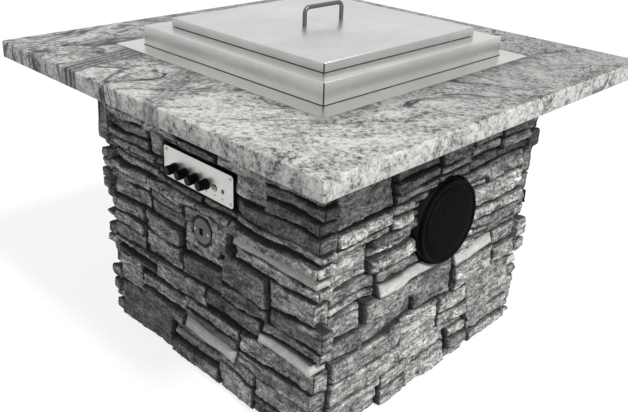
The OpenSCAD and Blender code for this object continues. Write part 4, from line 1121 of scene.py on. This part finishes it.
class FIREPIT_OT_stone_walls(bpy.types.Operator):
    """Splits every stone of the four walls and stands the walls for their CAD nodes"""

    bl_idname = "fire_pit.stone_walls"
    bl_label = "Stone walls"

    def execute(self, context):
        look = context.scene.fire_pit_stone
        material = ledgestone_material()
        for side, (wall, nodes) in enumerate(WALL_NODES.items()):
            source = joined(*(merged(node) for node in nodes))
            back_turn = Matrix.Rotation(-side * math.pi / 2, 3, "Z")
            bmesh.ops.rotate(source, verts=source.verts, cent=(0, 0, 0), matrix=back_turn)
            foot, head = (corner.z for corner in box_of(source))
            fittings = wall_fittings(wall, back_turn)
            stones = loose_parts(source)
            source.free()
            boxes = [box_of(stone) for stone in stones]
            slim = {n: ((low + high) / 2).xz for n, (low, high) in enumerate(boxes) if is_slim(high - low)}
            pale_stones = {min(slim, key=lambda n: math.dist(slim[n], place)) for place in PALE_SPOTS[wall]}
            marks = ([], [], [])
            for index, (stone, (low, high)) in enumerate(zip(stones, boxes)):
                dice = random.Random(look.seed * 1000 + side * 200 + index)
                tone = dice.random()
                smooth = index in pale_stones
                sort_faces(stone, low.y)
                cut_stone(stone, look.spacing, low, high)
                wander(stone, look, side, foot, head, fittings)
                painted_shades = split_stone(stone, look, dice, smooth, fittings)
                for mark, values in zip(marks, ([tone] * len(painted_shades), [float(smooth)] * len(painted_shades), painted_shades)):
                    mark += values
                paint(stone.faces, 0)
            stack = joined(*stones)
            bmesh.ops.rotate(stack, verts=stack.verts, cent=(0, 0, 0), matrix=back_turn.transposed())
            piece = settle(wall + "_stones", stack, nodes, [material], 46.0)
            for name, values in zip(STONE_MARKS, marks):
                piece.data.attributes.new(name, "FLOAT", "POINT").data.foreach_set("value", values)
        return {"FINISHED"}


class FIREPIT_OT_granite_top(bpy.types.Operator):
    """Makes the granite slab with its cut-out and eased edges"""

    bl_idname = "fire_pit.granite_top"
    bl_label = "Granite top"

    def execute(self, context):
        low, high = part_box("granite_top")
        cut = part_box("lava_rock_bed")[1].x + CUT_OUT_GAP
        slab = square_sheet(high.x, cut, low.z)[0]
        thickened(slab, high.z)
        outside = [e for e in sharp_edges(slab) if all(max(map(abs, v.co.xy)) > cut + 0.01 for v in e.verts)]
        round_edges(slab, outside, context.scene.fire_pit_granite.eased_edge, 3)
        settle("granite_slab", slab, ["granite_top"], [granite_material()])
        return {"FINISHED"}


class FIREPIT_OT_steel_surround(bpy.types.Operator):
    """Folds the burner pan with its flange and the raised curb with its lip"""

    bl_idname = "fire_pit.steel_surround"
    bl_label = "Pan and curb"

    def execute(self, context):
        look = context.scene.fire_pit_steel
        steel = [stainless("curb_steel", look.tint, 0.26), painted_gap_shade()]
        low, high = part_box("burner_pan")
        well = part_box("lava_rock_bed")[1].x + PAN_GAP
        pan, inner = square_sheet(high.x, well, high.z)[:2]
        bottom = drawn(pan, inner, low.z + look.sheet)
        bmesh.ops.holes_fill(pan, edges=bottom, sides=4)
        face_up(pan)
        round_edges(pan, upright(pan, well), look.fold, 3)
        bmesh.ops.solidify(pan, geom=pan.faces[:], thickness=look.sheet)
        settle("burner_pan_sheet", pan, ["burner_pan"], steel)

        low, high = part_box("raised_curb")
        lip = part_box("lid_panel")[1].x - look.sheet - 0.004
        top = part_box("lid_panel")[0].z - LID_GAP
        curb, inner, outer = square_sheet(high.x, lip, top)
        drawn(curb, outer, low.z)
        drawn(curb, inner, high.z)
        face_up(curb)
        fold_box(curb, high.x, top, look.seam, look.fold)
        bmesh.ops.solidify(curb, geom=curb.faces[:], thickness=look.sheet)
        # A thin near-black band round the curb's foot: painted shadow along its joint with the pan
        painted_shadow_band = square_sheet(high.x + 0.0008, high.x - 0.003, low.z + 0.0001)[0]
        thickened(painted_shadow_band, low.z + 0.0011)
        paint(painted_shadow_band.faces, 1)
        settle("curb_sheet", joined(curb, painted_shadow_band), ["raised_curb"], steel)
        return {"FINISHED"}


def bent_rod(low, high, bend):
    """A handle of round rod with two feet, two bends and a bar, inside a box."""
    radius = (high.x - low.x) / 2
    post = high.y - radius
    straight = high.z - radius - bend
    rod = bmesh.new()
    foot = Matrix.Translation((0, -post, low.z))
    bmesh.ops.create_circle(rod, segments=20, radius=radius, cap_ends=False, matrix=foot)
    ring = drawn(rod, rod.edges[:], straight)
    for start in (-post, post):
        centre = (0, start - math.copysign(bend, start), straight)
        ring = only(BMEdge, swept(rod, ring, centre, (1, 0, 0), -math.pi / 2, 8))
        if start < 0:
            made = bmesh.ops.extrude_edge_only(rod, edges=ring)["geom"]
            moved = only(BMVert, made)
            bmesh.ops.translate(rod, verts=moved, vec=(0, 2 * (post - bend), 0))
            ring = [e for e in only(BMEdge, made) if all(v in moved for v in e.verts)]
    drawn(rod, ring, low.z)
    closed(rod)
    return rod


class FIREPIT_OT_lid(bpy.types.Operator):
    """Folds the lid and bends its handle"""

    bl_idname = "fire_pit.lid"
    bl_label = "Lid and handle"

    def execute(self, context):
        look = context.scene.fire_pit_steel
        low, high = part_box("lid_panel")
        lid = square(high.x, high.z)
        drawn(lid, lid.edges[:], low.z)
        face_up(lid)
        fold_box(lid, high.x, high.z, look.seam, look.fold * 0.8)
        # Painted shade: the lid's turned-down sides get a darker copy of its steel
        paint([f for f in lid.faces if f.material_index == 0 and abs(f.normal.z) < STEEP], 2)
        bmesh.ops.solidify(lid, geom=lid.faces[:], thickness=look.sheet)
        skirt = stainless("lid_skirt_painted_shade_steel", look.shaded_skirt_tint, 0.22)
        steel = [stainless("lid_steel", look.lid_tint, 0.30), painted_gap_shade(), skirt]
        settle("lid_sheet", lid, ["lid_panel"], steel, body="lid")

        rod = bent_rod(*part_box("lid_handle"), look.bend)
        settle("handle_rod", rod, ["lid_handle"], [finish("bent_rod_steel")], 60.0, "lid")
        dress(finish("zinc_plate"), "handle_screws")
        return {"FINISHED"}


def burner_tubes(look, outer, inner, low, high, foot):
    """The burner's two rings, cross tubes, hub with riser and flame ports."""
    middle = Vector((0, 0, foot + look.tube))
    parts = []
    for ring in (inner, outer):
        bm = bmesh.new()
        section = Matrix.Translation((ring, 0, middle.z)) @ Matrix.Rotation(math.pi / 2, 4, "X")
        bmesh.ops.create_circle(bm, segments=16, radius=look.tube, matrix=section)
        swept(bm, bm.verts[:] + bm.edges[:], (0, 0, 0), (0, 0, 1), FULL_TURN, 72)
        face_out(bm)
        parts.append(bm)
    for way in ((1, 0, 0), (0, 1, 0)):
        parts.append(cylinder(middle, way, look.spoke, 2 * outer, 16))
    parts.append(turned([
        (0, low.z), (look.riser, low.z), (look.riser, foot), (look.hub, foot + 0.001),
        (look.hub, high.z - 0.002), (look.hub - 0.002, high.z), (0, high.z),
    ], 24))
    for ring, count in ((outer, look.ports), (inner, look.ports // 2)):
        for i in range(count):
            turn = FULL_TURN * (i + 0.5) / count
            lean = PORT_LEAN if i % 2 else -PORT_LEAN
            out = Vector((math.cos(turn), math.sin(turn), 0))
            way = (out * math.sin(lean) + Vector((0, 0, math.cos(lean)))).normalized()
            port = cylinder(out * ring + middle + way * (look.tube - 0.0002), way, look.port, PORT_DEPTH, 8)
            # Dark discs painted where the ports' holes would show shade
            paint(port.faces, 1)
            parts.append(port)
    return joined(*parts)


def lava_rocks(look, outer, inner, low, high):
    """A rough bed with rows of loose rocks on it, lower where the burner's tubes lie."""
    dice = random.Random(look.seed)
    reach = high.x - 0.0005
    bed = square(reach, high.z - BED_DEPTH, 48)
    for vert in bed.verts:
        vert.co.z += 0.006 * noise.noise(vert.co * 40)
    drawn(bed, open_edges(bed), low.z)
    closed(bed)
    parts = [bed]
    rows = round(2 * reach / (1.62 * look.rock))
    pitch = 2 * reach / rows
    for cell in range(rows * rows):
        row, column = divmod(cell, rows)
        size = look.rock * dice.uniform(0.78, 1.3)
        room = reach - size
        x = max(-room, min(room, -reach + pitch * (column + dice.uniform(0.1, 0.9))))
        y = max(-room, min(room, -reach + pitch * (row + dice.uniform(0.1, 0.9))))
        spread = math.hypot(x, y)
        away = min(abs(spread - outer), abs(spread - inner), abs(x), abs(y))
        z = high.z - size * 0.72 - (ROCK_SINK if away < look.tube + size * 0.9 else 0.0)
        rock = bmesh.new()
        bmesh.ops.create_uvsphere(rock, u_segments=8, v_segments=6, radius=size)
        jump = Vector([dice.uniform(-9, 9) for _ in range(3)])
        for vert in rock.verts:
            vert.co *= 1 + 0.34 * noise.noise(vert.co * 62 + jump)
        shape = [dice.uniform(*span) for span in ((0.85, 1.15), (0.75, 1.0), (0.62, 0.9))]
        tilt = Vector((dice.gauss(0, 1), dice.gauss(0, 1), 1)).normalized()
        spin = Quaternion(tilt, dice.uniform(0, FULL_TURN)).to_matrix().to_4x4()
        matrix = Matrix.Translation((x, y, z)) @ spin @ Matrix.Diagonal((*shape, 1))
        bmesh.ops.transform(rock, verts=rock.verts, matrix=matrix)
        parts.append(rock)
    return joined(*parts)


class FIREPIT_OT_burner(bpy.types.Operator):
    """Makes the burner rings with their flame ports and fills the pan with lava rock"""

    bl_idname = "fire_pit.burner"
    bl_label = "Burner and lava rock"

    def execute(self, context):
        look = context.scene.fire_pit_burner
        low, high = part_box("burner_ring")
        bed_low, bed_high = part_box("lava_rock_bed")
        outer = high.x - look.tube
        inner = outer * look.inner
        tubes = burner_tubes(look, outer, inner, low, high, bed_high.z + 0.001)
        steel = [finish("heat_dulled_steel"), painted_gap_shade()]
        settle("burner_tubes", tubes, ["burner_ring"], steel)
        rocks = lava_rocks(look, outer, inner, bed_low, bed_high)
        settle("lava_rocks", rocks, ["lava_rock_bed"], [lava_material()], 30.0)
        return {"FINISHED"}


def control_nuts(row, row_y, row_z):
    """The nuts behind the knobs and the rings of the sockets, in a row on the plate."""
    bore, wide = KNOB_NUT
    plain = [(bore, 0), (wide, 0), (wide, 0.0016), (wide - 0.0004, NUT_HEIGHT), (bore, NUT_HEIGHT)]
    nuts = [turned(plain, 6) for _ in range(4)]
    for bore, wide, is_gilt in SOCKET_NUTS.values():
        nut = turned([
            (bore, 0), (wide, 0), (wide, 0.0014), (wide - 0.0004, NUT_HEIGHT),
            (bore + 0.0002, NUT_HEIGHT), (bore, 0.0018),
        ], 40)
        # Painted shade: the gilt nut's sides get the near-black shade, and the other nut takes it all over
        paint([f for f in nut.faces if not is_gilt or abs(f.normal.z) < STEEP], 1)
        nuts.append(nut)
    for x, nut in zip(row, nuts):
        aim(nut, Vector((x, row_y, row_z)), FRONTWARD)
    return joined(*nuts)


class FIREPIT_OT_control_plate(bpy.types.Operator):
    """Makes the control plate, its screws, its dots, the nuts and the two sockets"""

    bl_idname = "fire_pit.control_plate"
    bl_label = "Control plate"

    def execute(self, context):
        look = context.scene.fire_pit_control
        low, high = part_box("control_plate")
        middle = (low + high) / 2
        plate = square(0.5)
        size = Matrix.Diagonal((high.x - low.x, high.z - low.z, 1, 1))
        bmesh.ops.transform(plate, matrix=size, verts=plate.verts)
        bevelled(plate, plate.verts, look.corner, 8, "VERTICES")
        thickened(plate, high.y - low.y)
        round_edges(plate, sharp_edges(plate), radius=0.0004)
        aim(plate, Vector((middle.x, high.y, middle.z)), FRONTWARD)
        satin = metal("satin_plate", look.plate, 0.34, (16.0, 900.0, 900.0), 0.05, 0.12)
        settle("control_plate_sheet", plate, ["control_plate"], [satin])

        screw_low, screw_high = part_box("plate_screws")
        heads = []
        for x in (screw_low.x + look.screw, screw_high.x - look.screw):
            for z in (screw_low.z + look.screw, screw_high.z - look.screw):
                turn = 0.4 + 1.9 * len(heads)
                heads.append(screw_head(Vector((x, low.y, z)), look.screw, low.y - screw_low.y, turn))
        steel = [finish("zinc_plate"), painted_gap_shade()]
        settle("plate_screw_heads", joined(*heads), ["plate_screws"], steel)

        knobs = [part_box(f"control_knob_{k}") for k in range(1, 5)]
        jacks = [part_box("audio_jack"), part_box("mini_jack")]
        row = [(a.x + b.x) / 2 for a, b in knobs + jacks]
        row_z = (knobs[0][0].z + knobs[0][1].z) / 2
        dots = []
        for x in row:
            place = Vector((x, low.y - 0.00012, row_z - look.dot_drop))
            dots.append(cylinder(place, FRONTWARD, look.dot, 0.0003, 16, 0.9))
        mark = mottled("dark_mark", tinted(look.mark, 0.7), look.mark, 0.6, 200.0, 1500.0, 0.00002)
        settle("control_dots", joined(*dots), [], [mark])

        gilt = [metal("gilt_ring", look.gilt, 0.25, even(400.0)), painted_gap_shade()]
        settle("socket_nuts", control_nuts(row, low.y, row_z), ["panel_nuts"], gilt)
        black = finish("matt_black_plastic")
        for node in SOCKET_NUTS:
            socket = softened(node, radius=0.0003)
            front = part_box(node)[0].y + 0.001
            paint([f for f in socket.faces if f.normal.y < -STEEP and f.calc_center_median().y < front], 1)
            settle(node + "_socket", socket, [node], [black, finish("zinc_plate")])
        dress(black, "plate_mounting_box", "power_inlet")
        dress(finish("zinc_plate"), "potentiometers")
        return {"FINISHED"}


def knob_shape(look, radius, tall):
    """A knob about Z: a round skirt, a fluted grip with a rounded top and a pointer line."""
    outside = [(radius - inset, height) for inset, height in SKIRT_SECTION]
    grip_radius, skirt_top = outside[-1]
    skirt = turned([(SKIRT_BORE, 0), *outside, (SKIRT_BORE, skirt_top)], 48)
    grip = bmesh.new()
    matrix = Matrix.Translation((0, 0, GRIP_FOOT))
    bmesh.ops.create_circle(grip, segments=96, radius=grip_radius, cap_ends=True, matrix=matrix)
    for vert in grip.verts:
        wave = max(0.0, math.cos(math.atan2(vert.co.y, vert.co.x) * look.flutes))
        vert.co.xy *= 1 - look.flute * wave / grip_radius
    foot = grip.faces[:]
    top = foot
    side = tall - GRIP_FOOT - sum(rise for rise, narrow in GRIP_TOP)
    for rise, narrow in ((side, 0.0), *GRIP_TOP):
        made = bmesh.ops.extrude_face_region(grip, geom=top)["geom"]
        if top is not foot:
            bmesh.ops.delete(grip, geom=top, context="FACES_ONLY")
        for vert in only(BMVert, made):
            vert.co.z += rise
            vert.co.xy -= vert.co.xy.normalized() * narrow
        top = only(BMFace, made)
    face_out(grip)
    pointer = bmesh.new()
    bmesh.ops.create_cube(pointer, size=1)
    line = Matrix.Diagonal((look.pointer, radius * 0.5, 0.0004, 1))
    line = Matrix.Translation((0, radius * 0.42, tall - 0.0001)) @ line
    bmesh.ops.transform(pointer, matrix=line, verts=pointer.verts)
    paint(pointer.faces, 1)
    return joined(skirt, grip, pointer)


class FIREPIT_OT_knobs(bpy.types.Operator):
    """Moulds the four knobs with their skirts, grip flutes and pointer lines"""

    bl_idname = "fire_pit.knobs"
    bl_label = "Knobs"

    def execute(self, context):
        look = context.scene.fire_pit_control
        dark, light = tinted(look.knob, 0.8), tinted(look.knob, 1.5)
        plastic = mottled("moulded_knob_black", dark, light, 0.42, 60.0, 1500.0, 0.00003, 0.10)
        looks = [plastic, finish("pointer_paint")]
        for k in range(1, 5):
            node = f"control_knob_{k}"
            low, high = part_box(node)
            knob = knob_shape(look, (high.x - low.x) / 2, high.y - low.y)
            aim(knob, Vector(((low.x + high.x) / 2, high.y, (low.z + high.z) / 2)), FRONTWARD)
            settle(f"knob_{k}_moulding", knob, [node], looks, 30.0, f"knob_{k}")
            dress(finish("zinc_plate"), f"knob_shaft_{k}")
        return {"FINISHED"}


class FIREPIT_OT_key_valve(bpy.types.Operator):
    """Finishes the key valve's escutcheon, its screws and the gas line behind it"""

    bl_idname = "fire_pit.key_valve"
    bl_label = "Key valve and gas line"

    def execute(self, context):
        ring = softened("valve_escutcheon", radius=0.0005)
        cast = [finish("escutcheon_cast")]
        settle("key_escutcheon", ring, ["valve_escutcheon"], cast)
        low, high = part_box("escutcheon_screws")
        radius = (high.z - low.z) / 2
        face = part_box("valve_escutcheon")[0].y + 0.002
        heads = [
            screw_head(Vector((x, face, (low.z + high.z) / 2)), radius, face - low.y, 0.7 + i)
            for i, x in enumerate((low.x + radius, high.x - radius))
        ]
        steel = [finish("zinc_plate"), painted_gap_shade()]
        settle("escutcheon_screw_heads", joined(*heads), ["escutcheon_screws"], steel)
        dress(finish("black_iron"), "gas_pipe_run", "gas_inlet_pipe")
        brass = finish("turned_brass")
        dress(brass, "key_valve_body", "valve_stem", "gas_inlet_coupling", "burner_locknut")
        dress(finish("zinc_plate"), "valve_sleeve", "valve_locknut")
        return {"FINISHED"}


def grille_face(look, radius, edge, tall):
    """A domed sheet with a square pattern of eight-sided holes, about Z."""
    count = round(2 * radius / look.pitch)
    sheet = square(count * look.pitch / 2, cells=count)
    bevelled(sheet, sheet.verts, look.pitch * 0.293, 1, "VERTICES")
    outside = [f for f in sheet.faces if f.calc_center_median().length > radius - look.pitch * 0.45]
    bmesh.ops.delete(sheet, geom=outside, context="FACES")
    pierced = radius - look.pitch * 1.3
    holes = [f for f in sheet.faces if len(f.verts) == 8 and f.calc_center_median().length < pierced]
    bmesh.ops.inset_individual(sheet, faces=holes, thickness=look.bar, use_even_offset=True)
    bmesh.ops.delete(sheet, geom=holes, context="FACES")
    for vert in sheet.verts:
        out = min(1.0, vert.co.xy.length / radius)
        vert.co.z = edge + (tall - edge) * (1 - out ** 3.2)
    face_up(sheet)
    bmesh.ops.solidify(sheet, geom=sheet.faces[:], thickness=0.001)
    return sheet


class FIREPIT_OT_speaker(bpy.types.Operator):
    """Makes the speaker's rim and perforated grille and finishes the driver behind it"""

    bl_idname = "fire_pit.speaker"
    bl_label = "Speaker"

    def execute(self, context):
        low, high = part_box("speaker_grille")
        radius = (high.y - low.y) / 2
        rim = turned([(radius - inset, height) for inset, height in RIM_SECTION], 96)
        inset, edge = GRILLE_EDGE
        face = grille_face(context.scene.fire_pit_speaker, radius - inset, edge, high.x - low.x)
        grille = joined(rim, face)
        aim(grille, Vector((low.x, (low.y + high.y) / 2, (low.z + high.z) / 2)), (1, 0, 0))
        black = [black_paint()]
        settle("speaker_rim_and_grille", grille, ["speaker_grille"], black, 35.0)
        ring = softened("speaker_mounting_ring", radius=0.0012)
        plastic = [finish("matt_black_plastic")]
        settle("speaker_ring", ring, ["speaker_mounting_ring"], plastic)
        dress(black_paint(), "speaker_basket", "speaker_screws")
        dress(finish("ferrite"), "speaker_magnet")
        dress(finish("soft_black_rubber"), "speaker_surround", "speaker_cable")
        dress(finish("coated_paper"), "speaker_cone")
        dress(finish("pale_nylon"), "cable_clips")
        return {"FINISHED"}


class FIREPIT_OT_base_frame(bpy.types.Operator):
    """Finishes the steel frame, the backer boards and the amplifier inside the base"""

    bl_idname = "fire_pit.base_frame"
    bl_label = "Base frame and amplifier"

    def execute(self, context):
        dress(finish("frame_primer"), "frame_posts", "bottom_rails", "top_rails")
        dress(finish("shaded_fibre_cement"), *(side + "_backer_board" for side in WALL_NODES))
        dress(finish("zinc_plate"), "board_screws")
        dress(finish("moulded_nylon"), "floor_glides")
        dress(finish("amplifier_sheet"), "amplifier_tray", "amplifier_cover")
        dress(finish("green_circuit"), "amplifier_board")
        return {"FINISHED"}


# Stage


def seen_mask(tree):
    """1 where the camera, a gloss or glass sees the stage itself, 0 where the stage only gives light."""
    path = add(tree, "ShaderNodeLightPath").outputs
    seen = Field(tree, path["Is Camera Ray"]).calc("MAXIMUM", path["Is Glossy Ray"])
    return seen.calc("MAXIMUM", path["Is Transmission Ray"])


def mix_shaders(tree, factor, first, second):
    """A node that goes from the first shader to the second as the factor rises."""
    return add(tree, "ShaderNodeMixShader", {0: factor, 1: first.outputs[0], 2: second.outputs[0]})


def show(tree, end, unseen, seen):
    """Ends a tree in one shader for the light it gives and another for what is seen of it."""
    mix = mix_shaders(tree, seen_mask(tree), unseen, seen)
    feed(tree, tree.nodes[end], {"Surface": mix.outputs[0]})


def soft_sun(name, level, towards, angle):
    """A wide soft light that comes from a direction."""
    light = bpy.data.lights.new(name, "SUN")
    light.energy = level
    light.angle = angle
    lamp = bpy.data.objects.new(name, light)
    lamp.rotation_mode = "QUATERNION"
    lamp.rotation_quaternion = (-Vector(towards)).to_track_quat("-Z", "Y")
    bpy.context.scene.collection.objects.link(lamp)


class FIREPIT_OT_stage(bpy.types.Operator):
    """Lays the floor and sets the light and the camera"""

    bl_idname = "fire_pit.stage"
    bl_label = "Stage"

    def execute(self, context):
        scene = context.scene
        look = scene.fire_pit_stage
        scene.view_settings.view_transform = "Standard"
        white = {"Color": (1, 1, 1, 1), "Strength": 1.0}

        bm = square(FLOOR_REACH)
        mesh = bpy.data.meshes.new("floor")
        bm.to_mesh(mesh)
        bm.free()
        floor = bpy.data.objects.new("floor", mesh)
        scene.collection.objects.link(floor)
        material = bpy.data.materials.new("floor")
        material.use_nodes = True
        tree = material.node_tree
        tree.nodes.remove(tree.nodes["Principled BSDF"])
        bounce = add(tree, "ShaderNodeBsdfDiffuse", {"Color": look.bounce})
        lit = add(tree, "ShaderNodeBsdfDiffuse", {"Color": look.floor})
        shown = mix_shaders(tree, look.glow, lit, add(tree, "ShaderNodeEmission", white))
        show(tree, "Material Output", bounce, shown)
        mesh.materials.append(material)

        world = bpy.data.worlds.new("studio")
        world.use_nodes = True
        scene.world = world
        tree = world.node_tree
        around = tree.nodes["Background"]
        feed(tree, around, {"Color": (1, 1, 1, 1), "Strength": look.ambient})
        show(tree, "World Output", around, add(tree, "ShaderNodeBackground", white))

        soft_sun("key", look.key, look.key_from, look.key_width)
        soft_sun("top", look.top, look.top_from, look.top_width)

        camera = bpy.data.cameras.new("photo_view")
        camera.sensor_width = 36
        camera.lens = look.focal / PICTURE_WIDTH * camera.sensor_width
        camera.shift_y = -look.drop / PICTURE_WIDTH
        camera.clip_start = 0.05
        camera.clip_end = 200
        eye = bpy.data.objects.new("photo_view", camera)
        turn = Matrix.Rotation(look.azimuth, 3, "Z")
        back = turn @ Vector((0, -math.cos(look.elevation), math.sin(look.elevation)))
        eye.location = Vector(look.target) + back * look.distance
        eye.rotation_mode = "QUATERNION"
        eye.rotation_quaternion = (-back).to_track_quat("-Z", "Y") @ Quaternion((0, 0, 1), look.roll)
        scene.collection.objects.link(eye)
        scene.camera = eye
        return {"FINISHED"}


OPERATORS = (
    FIREPIT_OT_stone_walls,
    FIREPIT_OT_granite_top,
    FIREPIT_OT_steel_surround,
    FIREPIT_OT_lid,
    FIREPIT_OT_burner,
    FIREPIT_OT_control_plate,
    FIREPIT_OT_knobs,
    FIREPIT_OT_key_valve,
    FIREPIT_OT_speaker,
    FIREPIT_OT_base_frame,
    FIREPIT_OT_stage,
)


class FIREPIT_PT_pieces(bpy.types.Panel):
    """Lists the table's pieces and their settings"""

    bl_idname = "FIREPIT_PT_pieces"
    bl_label = "Fire pit table"
    bl_space_type = "VIEW_3D"
    bl_region_type = "UI"
    bl_category = "Fire pit"

    def draw(self, context):
        for operator in OPERATORS:
            self.layout.operator(operator.bl_idname)
        for name, group in LOOKS.items():
            box = self.layout.box()
            box.label(text=group.__doc__)
            for key in group.__annotations__:
                box.prop(getattr(context.scene, name), key)


def register():
    """Registers the settings, the operators and the panel."""
    for name, group in LOOKS.items():
        bpy.utils.register_class(group)
        setattr(bpy.types.Scene, name, PointerProperty(type=group))
    for item in (*OPERATORS, FIREPIT_PT_pieces):
        bpy.utils.register_class(item)


def unregister():
    """Removes what register added."""
    for item in (FIREPIT_PT_pieces, *reversed(OPERATORS)):
        bpy.utils.unregister_class(item)
    for name, group in LOOKS.items():
        delattr(bpy.types.Scene, name)
        bpy.utils.unregister_class(group)


def main():
    register()
    for operator in OPERATORS:
        group, name = operator.bl_idname.split(".")
        getattr(getattr(bpy.ops, group), name)()


if __name__ == "__main__":
    main()
